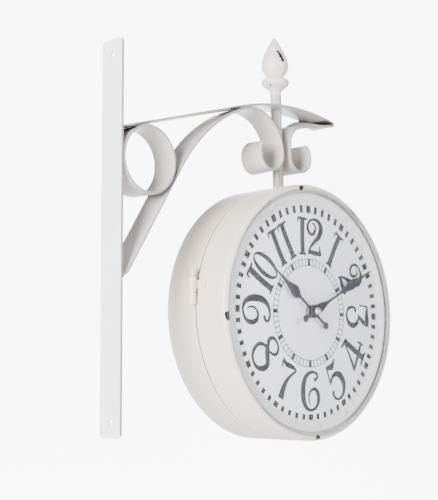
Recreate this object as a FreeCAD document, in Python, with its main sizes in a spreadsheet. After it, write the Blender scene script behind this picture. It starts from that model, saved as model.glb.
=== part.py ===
import FreeCAD, Part
import math
import os
import re

import Sketcher

# Double sided station clock on a scrolled wall bracket, in millimetres.
# Origin: middle of the two wall holes on the bar's wall face. +X away from the wall, +Z up,
# the front dial looks towards -Y and the rear dial towards +Y.

Vector = FreeCAD.Vector
Rotation = FreeCAD.Rotation
Constraint = Sketcher.Constraint

# ---------------------------------------------------------------- driving sizes
SIZES = {
    # flat bar on the wall
    "bar_length": 380,
    "bar_width": 30,
    "bar_thick": 2.5,
    "bar_corner": 5,
    "hole_inset": 15,
    "hole_diameter": 5.5,
    # bent flat strip of the arm, brace and corner ring
    "strip_width": 30,
    "strip_thick": 2.5,
    "weld_gap": 0.25,
    # top arm: straight rise, arch over the rod, folded nose, return leg, outer scroll
    "arm_root": 102.8,
    "arm_rise": 16.1,
    "arm_straight": 169,
    "arch_radius": 309,
    "arm_droop": 12,
    "nose_radius": 1.6,
    "leg_slope": 11,
    "elbow_radius": 14,
    "scroll_drop": 15.5,
    "outer_scroll": 16.75,
    "outer_sweep": 235,
    # brace: straight foot, two easing bends, crown under the arm, inner scroll
    "brace_slope": 57.5,
    "brace_bend": 190,
    "bend_end": 25,
    "brace_ease": 90,
    "crown_radius": 44.8,
    "inner_scroll": 17.5,
    "inner_sweep": 247,
    # hanger rod and its finial
    "reach": 237,
    "rod_diameter": 12,
    "rod_play": 0.1,
    "stud_diameter": 8,
    "stud_length": 10,
    "nut_flats": 13,
    "nut_height": 6.5,
    "finial_rise": 13,
    "finial_socket": 14,
    "collar_radius": 15.2,
    "collar_depth": 7.2,
    "neck_radius": 9.4,
    "bud_radius": 15.3,
    "bud_height": 36.3,
    "bud_shoulder": 12.8,
    "shoulder_rise": 11,
    "bud_waist": 7.2,
    "waist_rise": 24.5,
    "tip_blunt": 1.3,
    "flare_radius": 8.6,
    "flare_height": 5,
    # drum case
    "case_radius": 135,
    "case_half": 42.5,
    "case_wall": 1.5,
    "case_y": -7.5,
    "case_z": -65,
    "seam_shift": 1.5,
    "seam_gap": 0.4,
    "lip_round": 5,
    "lip_reach": 6.6,
    "lap_thick": 1,
    "lap_reach": 6,
    "lap_root": 1.5,
    "lap_play": 0.3,
    # stack behind each lip
    "face_gap": 0.05,
    "gasket_thick": 2.1,
    "gasket_width": 1.3,
    "glass_thick": 2,
    "glass_play": 0.35,
    "flange_play": 0.7,
    "glass_rise": 7.9,
    "glass_shoulder": 7.5,
    "dome_rise": 3,
    "dial_setback": 7,
    "dial_thick": 1,
    "dial_play": 1.5,
    "reveal_inset": 14.9,
    "reveal_step": 5,
    "reveal_low": 0.8,
    "reveal_edge": 1.9,
    "reveal_high": 3.7,
    "hoop_thick": 1.2,
    "hoop_width": 16,
    "hoop_flange": 7,
    # hinge on the wall side
    "knuckle_radius": 3.8,
    "hinge_gap": 0.4,
    "pin_radius": 1.7,
    "pin_play": 0.05,
    "pin_tail": 1,
    "pin_head": 10.5,
    "hinge_split": 15.2,
    "upper_knuckle": 15,
    "lower_knuckle": 11.4,
    "leaf_thick": 1.6,
    "front_leaf": 13.5,
    "front_leaf_low": 4,
    "front_leaf_high": 12.5,
    "rear_leaf": 22,
    "rear_leaf_high": 19,
    # clock movement, one behind each dial
    "movement_width": 56,
    "movement_depth": 15.5,
    "movement_corner": 3,
    "washer_thick": 1,
    "washer_radius": 11,
    "bushing_radius": 3.9,
    "bushing_reach": 3.5,
    "bushing_root": 2,
    "bushing_play": 0.1,
    "plate_radius": 7,
    "plate_thick": 0.5,
    "shaft_nut_flats": 11,
    "shaft_nut_height": 2.1,
    "tube_radius": 2.5,
    "tube_reach": 5.5,
    "tube_root": 4,
    "shaft_radius": 1.5,
    "shaft_reach": 12,
    "shaft_root": 6,
    "turn_play": 0.075,
    "press_play": 0.02,
    "battery_radius": 7.1,
    "battery_length": 49.2,
    "nub_radius": 2.75,
    "nub_length": 1.3,
    "bay_play": 0.2,
    "bay_low": 17.5,
    "contact_thick": 0.3,
    "contact_size": 9,
    "knob_radius": 5.9,
    "knob_height": 2.4,
    "knob_high": 13,
    "knob_recess": 1.2,
    "knob_play": 0.6,
    "knob_stem": 6,
    "knob_notch": 0.7,
    # hands, built pointing to twelve
    "hand_thick": 0.8,
    "hour_level": 4.3,
    "minute_level": 7.6,
    "hub_radius": 7,
    "stem_half": 1.2,
    "tip_half": 0.5,
    "hour_length": 78,
    "hour_spade_low": 26,
    "hour_spade": 34.5,
    "hour_spade_half": 6.7,
    "hour_spade_high": 54.8,
    "hour_tail": 25,
    "minute_length": 107.6,
    "minute_root": 13,
    "minute_root_half": 4.5,
    "minute_waist": 28,
    "minute_barb": 53,
    "minute_barb_half": 4.6,
    "minute_spade": 69,
    "minute_spade_half": 5.6,
    "minute_spade_high": 90,
    "minute_tail": 18,
    "leaf_curve": 30,
    "tail_ball": 4,
    "cap_radius": 3.8,
    "cap_height": 6,
    "cap_rim": 2,
    "cap_bevel": 1.1,
    "clock_minutes": 10.5,
}

# ---------------------------------------------------------------- sizes that follow
FOLLOWS = {
    "hole_spacing": "bar_length - 2*hole_inset",
    # rod and scrolls
    "rod_radius": "rod_diameter/2",
    "run_in": "strip_thick*2",
    "inner_face_x": "reach - rod_radius - weld_gap - strip_thick/2",
    "outer_face_x": "reach + rod_radius + weld_gap + strip_thick/2",
    # arch of the arm
    "arch_start_x": "bar_thick + arm_straight*cos(arm_rise)",
    "arch_start_z": "arm_root + arm_straight*sin(arm_rise)",
    "arch_x": "arch_start_x + arch_radius*sin(arm_rise)",
    "arch_z": "arch_start_z - arch_radius*cos(arm_rise)",
    "nose_x": "arch_x + arch_radius*sin(arm_droop)",
    "leg_x": "nose_x + nose_radius*(sin(leg_slope) - sin(arm_droop))",
    "elbow_share": "elbow_radius*(1 - sin(leg_slope))",
    "leg_length": "(leg_x - elbow_share - outer_face_x)/cos(leg_slope)",
    "arm_top_z": "arch_z + sqrt((arch_radius + strip_thick/2)^2 - (reach - arch_x)^2)",
    # brace, tangent to the under side of the arch
    "under_radius": "arch_radius - strip_thick - weld_gap",
    "meet_sine": "(arch_x + crown_radius - inner_face_x)/(under_radius - crown_radius)",
    "meet_cosine": "sqrt(1 - meet_sine^2)",
    "meet_angle": "asin(meet_sine)/(1 deg)",
    "meet_x": "arch_x - under_radius*meet_sine",
    "meet_z": "arch_z + under_radius*meet_cosine",
    "ease_x": "meet_x - brace_ease*(sin(bend_end) - meet_sine)",
    "ease_z": "meet_z - brace_ease*(meet_cosine - cos(bend_end))",
    "bend_x": "ease_x - brace_bend*(sin(brace_slope) - sin(bend_end))",
    "bend_z": "ease_z - brace_bend*(cos(bend_end) - cos(brace_slope))",
    "foot_z": "bend_z - (bend_x - bar_thick)*tan(brace_slope)",
    # ring that touches bar, arm and brace
    "arm_under_z": "arm_root - strip_thick/2/cos(arm_rise)",
    "brace_over_z": "foot_z + strip_thick/2/cos(brace_slope)",
    "ring_share": "(1 - sin(arm_rise))/cos(arm_rise) + (1 + sin(brace_slope))/cos(brace_slope)",
    "ring_seat": "(arm_under_z - brace_over_z)/ring_share",
    "ring_radius": "ring_seat - weld_gap",
    "ring_x": "bar_thick + ring_seat",
    "ring_z": "arm_under_z - ring_seat*(1 - sin(arm_rise))/cos(arm_rise)",
    # finial
    "finial_z": "arm_top_z + finial_rise",
    "collar_low": "(collar_radius - rod_radius)*0.85",
    "collar_high": "collar_low + collar_depth",
    "neck_low": "collar_high + 2.4",
    "neck_high": "neck_low + 1.6",
    "bud_low": "neck_high + (bud_radius - neck_radius)*1.05",
    "bud_wide": "bud_low + 4.3",
    "finial_height": "bud_wide + bud_height",
    # drum
    "shell_inner": "case_radius - case_wall",
    "opening_radius": "case_radius - lip_reach",
    "lip_inside": "case_half - case_wall",
    "lip_bevel": "lip_round*(1 - sqrt(0.5))",
    "roll_bevel": "(lip_round - case_wall)*(1 - sqrt(0.5))",
    "seam_y": "case_y - seam_shift",
    "case_top_z": "case_z + case_radius",
    "stud_top_z": "case_top_z + face_gap",
    "nut_corner": "nut_flats/sqrt(3)",
    "nut_top_z": "case_z + sqrt(shell_inner^2 - nut_corner^2) - face_gap",
    # stack
    "flange_radius": "shell_inner - flange_play",
    "gasket_front": "lip_inside - face_gap",
    "gasket_back": "gasket_front - gasket_thick",
    "gasket_inner": "opening_radius + 0.2",
    "flange_front": "gasket_back - face_gap",
    "flange_back": "flange_front - glass_thick",
    "neck_outer": "opening_radius - glass_play",
    "neck_inner": "neck_outer - glass_thick",
    "glass_top": "case_half + glass_rise",
    "shoulder_r": "neck_outer - glass_shoulder",
    "shoulder_u": "glass_top - glass_shoulder",
    "shoulder_bevel": "glass_shoulder*(1 - sqrt(0.5))",
    "inner_bevel": "(glass_shoulder - glass_thick)*(1 - sqrt(0.5))",
    "dome_mid": "dome_rise*3/4",
    "dial_front": "case_half - dial_setback",
    "dial_back": "dial_front - dial_thick",
    "dial_radius": "shell_inner - dial_play",
    "reveal_back": "dial_front + face_gap",
    "reveal_front": "flange_back - face_gap",
    "reveal_outer": "neck_inner - 0.45",
    "reveal_radius": "opening_radius - reveal_inset",
    "reveal_mid": "reveal_radius + reveal_step",
    "hoop_front": "dial_back - face_gap",
    "hoop_outer": "shell_inner - 0.3",
    # hinge
    "hinge_x": "reach - case_radius - knuckle_radius - hinge_gap",
    "split_z": "case_z + hinge_split",
    "knuckle_bore": "pin_radius + pin_play",
    "rear_leaf_near": "knuckle_radius + hinge_gap",
    # movement
    "washer_front": "dial_back - face_gap",
    "movement_front": "washer_front - washer_thick - face_gap",
    "movement_back": "movement_front - movement_depth",
    "bushing_front": "dial_front + bushing_reach",
    "bushing_back": "movement_front - bushing_root",
    "bay_length": "battery_length + nub_length + 2*contact_thick + 4*face_gap + 2*bay_play",
    "bay_height": "2*(battery_radius + bay_play)",
    "bay_floor": "movement_front - 0.9",
    "battery_axis": "bay_floor - bay_play - battery_radius",
    "knob_seat": "movement_back + knob_recess",
    "shaft_back": "bushing_back - shaft_root",
    "shaft_front": "dial_front + shaft_reach",
    "tube_back": "bushing_back - tube_root",
    "tube_front": "dial_front + tube_reach",
    "tube_bore": "tube_radius + turn_play",
    "bushing_hole": "bushing_radius + bushing_play",
    "battery_shift": "nub_length/2",
    "hour_back": "dial_front + hour_level",
    "minute_back": "dial_front + minute_level",
    "cap_back": "minute_back + hand_thick + face_gap",
    "cap_shoulder": "cap_back + cap_rim",
    "cap_top": "cap_back + cap_height",
    "hour_angle": "300 + clock_minutes/2",
    "minute_angle": "clock_minutes*6",
}

doc = FreeCAD.newDocument("station_clock")
sheet = doc.addObject("Spreadsheet::Sheet", "Sizes")
for row, (alias, number) in enumerate(SIZES.items(), start=1):
    sheet.set("A%d" % row, alias)
    sheet.set("B%d" % row, str(number))
    sheet.setAlias("B%d" % row, alias)
for row, (alias, rule) in enumerate(FOLLOWS.items(), start=len(SIZES) + 1):
    sheet.set("A%d" % row, alias)
    sheet.set("B%d" % row, "=" + rule)
    sheet.setAlias("B%d" % row, alias)
doc.recompute()


# ---------------------------------------------------------------- helpers
def formula(text):
    """Expression text with every size name pointing at the sheet."""
    def point(match):
        word = match.group()
        return "Sizes." + word if word in SIZES or word in FOLLOWS else word
    return re.sub(r"[A-Za-z_][A-Za-z_0-9]*", point, str(text))


def value(text):
    """Number that an expression gives now."""
    number = sheet.evalExpression(formula(text))
    return float(getattr(number, "Value", number))


def bind(thing, prop, text):
    thing.setExpression(prop, formula(text))


def new_body(name):
    body = doc.addObject("PartDesign::Body", name)
    body.Label = name
    return body


def new_sketch(body, name, role, lift="0"):
    """Sketch on one of the body's own origin planes, lifted along the plane's normal."""
    sketch = body.newObject("Sketcher::SketchObject", name)
    plane = [item for item in body.Origin.OriginFeatures if item.Role == role][0]
    sketch.AttachmentSupport = (plane, [""])
    sketch.MapMode = "FlatFace"
    if lift != "0":
        bind(sketch, "AttachmentOffset.Base.z", lift)
    doc.recompute()
    return sketch


def fix_point(sketch, geometry, end, x_text, y_text):
    """Hold one end of a line or arc, or a centre, at given sizes from the sketch origin."""
    for kind, text, axis in (("DistanceX", x_text, -2), ("DistanceY", y_text, -1)):
        if str(text) == "0":
            sketch.addConstraint(Constraint("PointOnObject", geometry, end, axis))
            continue
        index = sketch.addConstraint(Constraint(kind, -1, 1, geometry, end, value(text)))
        bind(sketch, "Constraints[%d]" % index, text)


def draw_circle(sketch, x_text, y_text, radius_text):
    centre = Vector(value(x_text), value(y_text), 0)
    circle = Part.Circle(centre, Vector(0, 0, 1), value(radius_text))
    index = sketch.addGeometry(circle, False)
    fix_point(sketch, index, 3, x_text, y_text)
    size = sketch.addConstraint(Constraint("Radius", index, value(radius_text)))
    bind(sketch, "Constraints[%d]" % size, radius_text)


def arc_between(start, stop, radius, side):
    """Short arc from start to stop. side is 1 when it turns left and -1 when it turns right."""
    chord = stop - start
    middle = (start + stop) * 0.5
    square = max(radius ** 2 - (chord.Length / 2) ** 2, 0.0)
    normal = Vector(-chord.y, chord.x, 0).normalize()
    centre = middle + normal * (side * math.sqrt(square))
    first = math.atan2(start.y - centre.y, start.x - centre.x)
    last = math.atan2(stop.y - centre.y, stop.x - centre.x)
    if side < 0:
        first, last = last, first
    while last < first:
        last += 2 * math.pi
    return Part.ArcOfCircle(Part.Circle(centre, Vector(0, 0, 1), radius), first, last)


def draw_outline(sketch, corners):
    """Closed outline. Each corner is (x, y), or (x, y, radius, side) when an arc leads to it."""
    points = [Vector(value(corner[0]), value(corner[1]), 0) for corner in corners]
    ends = []
    for index, corner in enumerate(corners):
        start, stop = points[index - 1], points[index]
        if len(corner) == 2:
            geometry = sketch.addGeometry(Part.LineSegment(start, stop), False)
            ends.append((geometry, 1, 2))
            continue
        radius, side = corner[2], corner[3]
        arc = arc_between(start, stop, value(radius), side)
        geometry = sketch.addGeometry(arc, False)
        ends.append((geometry, 1, 2) if side > 0 else (geometry, 2, 1))
        size = sketch.addConstraint(Constraint("Radius", geometry, value(radius)))
        bind(sketch, "Constraints[%d]" % size, radius)
    for index, corner in enumerate(corners):
        geometry, _, last = ends[index]
        following, first, _ = ends[(index + 1) % len(ends)]
        sketch.addConstraint(Constraint("Coincident", geometry, last, following, first))
        fix_point(sketch, geometry, last, corner[0], corner[1])
    return ends


def add_pad(body, name, sketch, length_text, both_ways=False):
    pad = body.newObject("PartDesign::Pad", name)
    pad.Profile = sketch
    bind(pad, "Length", length_text)
    if both_ways:
        pad.SideType = "Symmetric"
    return pad


def add_pocket(body, name, sketch, length_text, along_normal):
    """Cut that must take material away."""
    doc.recompute()
    before = body.Shape.Volume
    pocket = body.newObject("PartDesign::Pocket", name)
    pocket.Profile = sketch
    bind(pocket, "Length", length_text)
    pocket.Reversed = along_normal
    doc.recompute()
    if not body.Shape.Volume < before - 1e-6:
        raise RuntimeError("%s cuts nothing" % name)
    return pocket


def add_revolution(body, name, sketch):
    """Full turn about the body's own Y axis, which is the sketch's vertical axis."""
    turn = body.newObject("PartDesign::Revolution", name)
    turn.Profile = sketch
    turn.ReferenceAxis = (sketch, ["V_Axis"])
    turn.Angle = 360
    return turn


def place(thing, x_text, y_text, z_text, rotation=None):
    if rotation is not None:
        thing.Placement = FreeCAD.Placement(Vector(0, 0, 0), rotation)
    for axis, text in zip("xyz", (x_text, y_text, z_text)):
        bind(thing, "Placement.Base." + axis, text)


def edges_along(shape, direction):
    """Names of the straight edges that run along a direction."""
    names = []
    for number, edge in enumerate(shape.Edges, start=1):
        if not isinstance(edge.Curve, Part.Line):
            continue
        if abs(abs(edge.Curve.Direction.dot(direction)) - 1) < 1e-6:
            names.append("Edge%d" % number)
    return names


def add_fillet(body, name, direction, radius_text):
    """Round every straight edge of the body that runs along a direction."""
    doc.recompute()
    base = body.Tip
    names = edges_along(base.Shape, direction)
    fillet = body.newObject("PartDesign::Fillet", name)
    fillet.Base = (base, names)
    bind(fillet, "Radius", radius_text)
    doc.recompute()
    return fillet


def new_cylinder(name, radius_text, height_text, base, rotation=None):
    cylinder = doc.addObject("Part::Cylinder", name)
    bind(cylinder, "Radius", radius_text)
    bind(cylinder, "Height", height_text)
    place(cylinder, *base, rotation)
    return cylinder


def new_box(name, sizes, base):
    box = doc.addObject("Part::Box", name)
    for prop, text in zip(("Length", "Width", "Height"), sizes):
        bind(box, prop, text)
    place(box, *base)
    return box


def new_cut(name, base, tool):
    cut = doc.addObject("Part::Cut", name)
    cut.Base = base
    cut.Tool = tool
    cut.Label = name
    return cut


def new_fuse(name, shapes):
    fuse = doc.addObject("Part::MultiFuse", name)
    fuse.Shapes = shapes
    fuse.Label = name
    return fuse


def new_common(name, shapes):
    common = doc.addObject("Part::MultiCommon", name)
    common.Shapes = shapes
    common.Label = name
    return common


def draw_run(sketch, start, heading_text, steps):
    """Open path of tangent lines and arcs.

    Each step is (length,) for a line, or (radius, sweep in degrees, side) for an arc.
    """
    x, y = value(start[0]), value(start[1])
    heading = math.radians(value(heading_text))
    before = None
    for step in steps:
        if len(step) == 1:
            length = value(step[0])
            stop = Vector(x + length * math.cos(heading), y + length * math.sin(heading), 0)
            index = sketch.addGeometry(Part.LineSegment(Vector(x, y, 0), stop), False)
            first, last = 1, 2
            size = sketch.addConstraint(Constraint("Distance", index, length))
            bind(sketch, "Constraints[%d]" % size, step[0])
            x, y = stop.x, stop.y
        else:
            radius, sweep, side = value(step[0]), math.radians(value(step[1])), step[2]
            centre = Vector(x - side * radius * math.sin(heading),
                            y + side * radius * math.cos(heading), 0)
            begin = math.atan2(y - centre.y, x - centre.x)
            end = begin + side * sweep
            circle = Part.Circle(centre, Vector(0, 0, 1), radius)
            index = sketch.addGeometry(Part.ArcOfCircle(circle, min(begin, end), max(begin, end)), False)
            first, last = (1, 2) if side > 0 else (2, 1)
            size = sketch.addConstraint(Constraint("Radius", index, radius))
            bind(sketch, "Constraints[%d]" % size, step[0])
            size = sketch.addConstraint(Constraint("Angle", index, sweep))
            bind(sketch, "Constraints[%d]" % size, step[1])
            x, y = centre.x + radius * math.cos(end), centre.y + radius * math.sin(end)
            heading += side * sweep
        if before is None:
            fix_point(sketch, index, first, *start)
            size = sketch.addConstraint(Constraint("Angle", -1, 1, index, first, heading))
            bind(sketch, "Constraints[%d]" % size, heading_text)
        else:
            sketch.addConstraint(Constraint("Tangent", before[0], before[1], index, first))
        before = (index, last)


def bent_strip(name, start, heading_text, steps):
    """Flat strip swept along a bent path in the XZ plane and cut square to the wall bar."""
    body = new_body(name)
    path = new_sketch(body, name + "_path", "XZ_Plane")
    draw_run(path, start, heading_text, steps)
    doc.recompute()
    section = body.newObject("Sketcher::SketchObject", name + "_section")
    section.AttachmentSupport = (path, ["Edge1"])
    section.MapMode = "NormalToEdge"
    doc.recompute()
    draw_outline(section, [
        ("-strip_width/2", "-strip_thick/2"),
        ("strip_width/2", "-strip_thick/2"),
        ("strip_width/2", "strip_thick/2"),
        ("-strip_width/2", "strip_thick/2"),
    ])
    sweep = body.newObject("PartDesign::AdditivePipe", name + "_sweep")
    sweep.Profile = section
    sweep.Spine = (path, ["Edge%d" % (number + 1) for number in range(len(steps))])
    doc.recompute()
    trim = new_sketch(body, name + "_trim", "XZ_Plane")
    low, high = start[1] + " - strip_width", start[1] + " + strip_width"
    draw_outline(trim, [("-run_in*2", low), ("bar_thick", low), ("bar_thick", high), ("-run_in*2", high)])
    square = body.newObject("PartDesign::Pocket", name + "_square")
    square.Profile = trim
    square.SideType = "Symmetric"
    bind(square, "Length", "strip_width + 2")
    doc.recompute()
    return body


# ---------------------------------------------------------------- wall bracket
def wall_bar():
    body = new_body("wall_bar")
    face = new_sketch(body, "bar_face", "YZ_Plane")
    draw_outline(face, [
        ("-bar_width/2", "-bar_length/2"),
        ("bar_width/2", "-bar_length/2"),
        ("bar_width/2", "bar_length/2"),
        ("-bar_width/2", "bar_length/2"),
    ])
    add_pad(body, "bar_plate", face, "bar_thick")
    add_fillet(body, "bar_corners", Vector(1, 0, 0), "bar_corner")
    holes = new_sketch(body, "bar_holes", "YZ_Plane")
    for height in ("hole_spacing/2", "-hole_spacing/2"):
        draw_circle(holes, "0", height, "hole_diameter/2")
    add_pocket(body, "bar_drilling", holes, "bar_thick", True)
    return body


def top_arm():
    steps = [
        ("arm_straight + run_in/cos(arm_rise)",),
        ("arch_radius", "arm_rise + arm_droop", -1),
        ("nose_radius", "180 - arm_droop - leg_slope", -1),
        ("leg_length",),
        ("elbow_radius", "90 - leg_slope", 1),
        ("scroll_drop",),
        ("outer_scroll", "outer_sweep", 1),
    ]
    start = ("bar_thick - run_in", "arm_root - run_in*tan(arm_rise)")
    body = bent_strip("top_arm", start, "arm_rise", steps)
    hole = new_sketch(body, "arm_hole", "XY_Plane")
    draw_circle(hole, "reach", "0", "rod_radius + rod_play")
    add_pocket(body, "arm_drilling", hole, "arm_top_z + strip_thick", True)
    return body


def brace():
    steps = [
        ("(bend_x - bar_thick + run_in)/cos(brace_slope)",),
        ("brace_bend", "brace_slope - bend_end", -1),
        ("brace_ease", "bend_end - meet_angle", -1),
        ("crown_radius", "90 + meet_angle", -1),
        ("inner_scroll", "inner_sweep", -1),
    ]
    start = ("bar_thick - run_in", "foot_z - run_in*tan(brace_slope)")
    return bent_strip("brace", start, "brace_slope", steps)


def corner_ring():
    body = new_body("corner_ring")
    rim = new_sketch(body, "ring_rim", "XZ_Plane")
    draw_circle(rim, "ring_x", "ring_z", "ring_radius")
    draw_circle(rim, "ring_x", "ring_z", "ring_radius - strip_thick")
    add_pad(body, "ring_band", rim, "strip_width", both_ways=True)
    return body


def hanger_rod():
    """Round rod with a thinner stud that goes through the top of the drum."""
    body = new_body("hanger_rod")
    half = new_sketch(body, "rod_half", "XZ_Plane")
    draw_outline(half, [
        ("0", "nut_top_z - nut_height - 2"),
        ("stud_diameter/2", "nut_top_z - nut_height - 2"),
        ("stud_diameter/2", "stud_top_z"),
        ("rod_radius", "stud_top_z"),
        ("rod_radius", "finial_z + finial_socket - weld_gap"),
        ("0", "finial_z + finial_socket - weld_gap"),
    ])
    add_revolution(body, "rod_turned", half)
    place(body, "reach", "0", "0")
    return body


def finial():
    """Turned spear bud over a round collar, bored for the end of the rod."""
    body = new_body("finial")
    half = new_sketch(body, "finial_half", "XZ_Plane")
    draw_outline(half, [
        ("rod_radius + rod_play", "0"),
        ("rod_radius + 0.7", "0"),
        ("collar_radius - 0.8", "collar_low"),
        ("collar_radius", "(collar_low + collar_high)/2"),
        ("collar_radius - 1.8", "collar_high"),
        ("neck_radius", "neck_low"),
        ("neck_radius + 0.1", "neck_high"),
        ("bud_radius - 1", "bud_low"),
        ("bud_radius", "bud_wide"),
        ("bud_shoulder", "bud_wide + shoulder_rise"),
        ("bud_waist", "bud_wide + waist_rise"),
        ("tip_blunt", "finial_height - tip_blunt"),
        ("0", "finial_height"),
        ("0", "finial_socket"),
        ("rod_radius + rod_play", "finial_socket"),
    ])
    add_revolution(body, "finial_turned", half)
    place(body, "reach", "0", "finial_z")
    return body


def rod_flare():
    """Weld collar round the rod where it meets the curved top of the drum."""
    cone = doc.addObject("Part::Cone", "flare_cone")
    bind(cone, "Radius1", "flare_radius")
    bind(cone, "Radius2", "rod_radius + 0.6")
    bind(cone, "Height", "flare_height")
    place(cone, "reach", "0", "case_top_z - 0.6")
    bore = new_cylinder("flare_bore", "rod_radius + rod_play", "flare_height*3",
                        ("reach", "0", "case_top_z - flare_height"))
    drum = new_cylinder("flare_drum", "case_radius + face_gap", "case_half*2",
                        ("reach", "case_half", "case_z"), Rotation(Vector(1, 0, 0), 90))
    tools = new_fuse("flare_tools", [bore, drum])
    return new_cut("rod_flare", cone, tools)


def hex_corners(flats_text):
    """Corners of a hexagon with two flats across the sketch's horizontal direction."""
    return [("%s/sqrt(3)*sin(%d)" % (flats_text, turn), "%s/sqrt(3)*cos(%d)" % (flats_text, turn))
            for turn in (360, 300, 240, 180, 120, 60)]


def rod_nut():
    """Nut inside the drum, on the stud of the rod."""
    body = new_body("rod_nut")
    flats = new_sketch(body, "nut_flat", "XY_Plane")
    draw_outline(flats, [(y, x) for x, y in hex_corners("nut_flats")][::-1])
    draw_circle(flats, "0", "0", "stud_diameter/2 + turn_play")
    add_pad(body, "nut_block", flats, "nut_height")
    place(body, "reach", "0", "nut_top_z - nut_height")
    return body


# ---------------------------------------------------------------- drum case
FRONT = Rotation()
REAR = Rotation(Vector(0, 0, 1), 180)
SIDES = {"front": (FRONT, -1), "rear": (REAR, 1)}


def seat_on_axis(body, side, turn=None, raise_text="0"):
    """Put a piece that was drawn about the case axis on its side of the drum."""
    rotation = SIDES[side][0] if turn is None else SIDES[side][0].multiply(turn)
    place(body, "reach", "case_y", "case_z + " + raise_text, rotation)


def shell(side):
    """Half drum whose lip rolls inwards in two flats. Depths grow outwards from the middle plane."""
    body = new_body(side + "_shell")
    half = new_sketch(body, side + "_shell_half", "XY_Plane")
    seam = "-(seam_gap/2 + seam_shift)" if side == "front" else "-(seam_gap/2 - seam_shift)"
    draw_outline(half, [
        ("case_radius", seam),
        ("case_radius", "-(case_half - lip_round)"),
        ("case_radius - lip_bevel", "-(case_half - lip_bevel)"),
        ("case_radius - lip_round", "-case_half"),
        ("opening_radius", "-case_half"),
        ("opening_radius", "-lip_inside"),
        ("case_radius - lip_round", "-lip_inside"),
        ("shell_inner - roll_bevel", "-(lip_inside - roll_bevel)"),
        ("shell_inner", "-(case_half - lip_round)"),
        ("shell_inner", seam),
    ])
    add_revolution(body, side + "_shell_spun", half)
    if side == "rear":
        hole = new_sketch(body, "rear_shell_hole", "XY_Plane")
        draw_circle(hole, "0", "case_y", "stud_diameter/2 + rod_play")
        add_pocket(body, "rear_shell_drilling", hole, "case_radius + case_wall", True)
    seat_on_axis(body, side)
    return body


def turned_ring(name, side, corners, angle_turn=None):
    """Ring of revolution about the case axis from its half section."""
    body = new_body(name)
    half = new_sketch(body, name + "_half", "XY_Plane")
    draw_outline(half, corners)
    add_revolution(body, name + "_turned", half)
    seat_on_axis(body, side, angle_turn)
    return body


def lap_band():
    """Thin band inside the rear shell that the front shell closes over."""
    outer, front, back = "shell_inner - lap_play", "-(seam_shift + lap_reach)", "lap_root - seam_shift"
    inner = outer + " - lap_thick"
    corners = [(inner, front), (outer, front), (outer, back), (inner, back)]
    return turned_ring("lap_band", "front", corners)


def drum_round(name, radius_text):
    """Cylinder on the case axis that the hinge leaves are bent to."""
    start = ("reach", "case_y + case_half", "case_z")
    return new_cylinder(name, radius_text, "case_half*2", start, Rotation(Vector(1, 0, 0), 90))


def hinge(side):
    """Knuckle, bent leaf and the web between them. The rear half also has the tall leaf."""
    name = "hinge_" + side
    if side == "front":
        knuckle_low, knuckle_long = "split_z + seam_gap/2", "upper_knuckle"
        leaf_y, leaf_wide = "seam_y - front_leaf", "front_leaf - seam_gap"
        leaf_low, leaf_high = "front_leaf_low", "front_leaf_high"
        web_y, web_wide = "seam_y - knuckle_radius", "knuckle_radius - seam_gap"
        web_low, web_high = leaf_low, leaf_high
    else:
        knuckle_low, knuckle_long = "split_z - seam_gap/2 - lower_knuckle", "lower_knuckle"
        leaf_y, leaf_wide = "seam_y + rear_leaf_near", "rear_leaf - rear_leaf_near"
        leaf_low, leaf_high = "-lower_knuckle", "rear_leaf_high"
        web_y, web_wide = "seam_y + seam_gap", "rear_leaf_near + leaf_thick - seam_gap"
        web_low, web_high = leaf_low, "-seam_gap/2"
    pivot = ("hinge_x", "seam_y")
    barrel = new_cylinder(name + "_barrel", "knuckle_radius", knuckle_long, pivot + (knuckle_low,))
    outside = drum_round(name + "_outside", "case_radius + face_gap + leaf_thick")
    window = new_box(name + "_window",
                     ("case_radius/2", leaf_wide, "%s + 0 - (%s)" % (leaf_high, leaf_low)),
                     ("hinge_x", leaf_y, "split_z + (%s)" % leaf_low))
    leaf = new_common(name + "_leaf", [outside, window])
    web = new_box(name + "_web",
                  ("knuckle_radius*2", web_wide, "%s + 0 - (%s)" % (web_high, web_low)),
                  ("hinge_x", web_y, "split_z + (%s)" % web_low))
    blank = new_fuse(name + "_blank", [barrel, leaf, web])
    bore = new_cylinder(name + "_bore", "knuckle_bore", "upper_knuckle*4",
                        pivot + ("split_z - upper_knuckle*2",))
    inside = drum_round(name + "_inside", "case_radius + face_gap")
    tools = new_fuse(name + "_tools", [bore, inside])
    return new_cut(name, blank, tools)


def hinge_pin():
    start = ("hinge_x", "seam_y", "split_z - lower_knuckle - pin_tail")
    return new_cylinder("hinge_pin", "pin_radius",
                        "upper_knuckle + lower_knuckle + pin_tail + pin_head", start)


# ---------------------------------------------------------------- behind each lip
def gasket(side):
    outer = "gasket_inner + gasket_width"
    corners = [
        ("gasket_inner", "-gasket_front"),
        ("gasket_inner", "-gasket_back"),
        (outer, "-gasket_back"),
        (outer, "-gasket_front"),
    ]
    return turned_ring(side + "_gasket", side, corners)


def glass(side):
    """Moulded cover: flange behind the lip, straight neck, two-flat shoulder and shallow dome."""
    corners = [
        ("neck_inner", "-flange_back"),
        ("flange_radius", "-flange_back"),
        ("flange_radius", "-flange_front"),
        ("neck_outer", "-flange_front"),
        ("neck_outer", "-shoulder_u"),
        ("neck_outer - shoulder_bevel", "-(glass_top - shoulder_bevel)"),
        ("shoulder_r", "-glass_top"),
        ("shoulder_r/2", "-(glass_top + dome_mid)"),
        ("0", "-(glass_top + dome_rise)"),
        ("0", "-(glass_top + dome_rise - glass_thick)"),
        ("shoulder_r/2", "-(glass_top + dome_mid - glass_thick)"),
        ("shoulder_r", "-(glass_top - glass_thick)"),
        ("neck_inner - inner_bevel", "-(glass_top - glass_thick - inner_bevel)"),
        ("neck_inner", "-shoulder_u"),
    ]
    return turned_ring(side + "_glass", side, corners)


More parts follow.
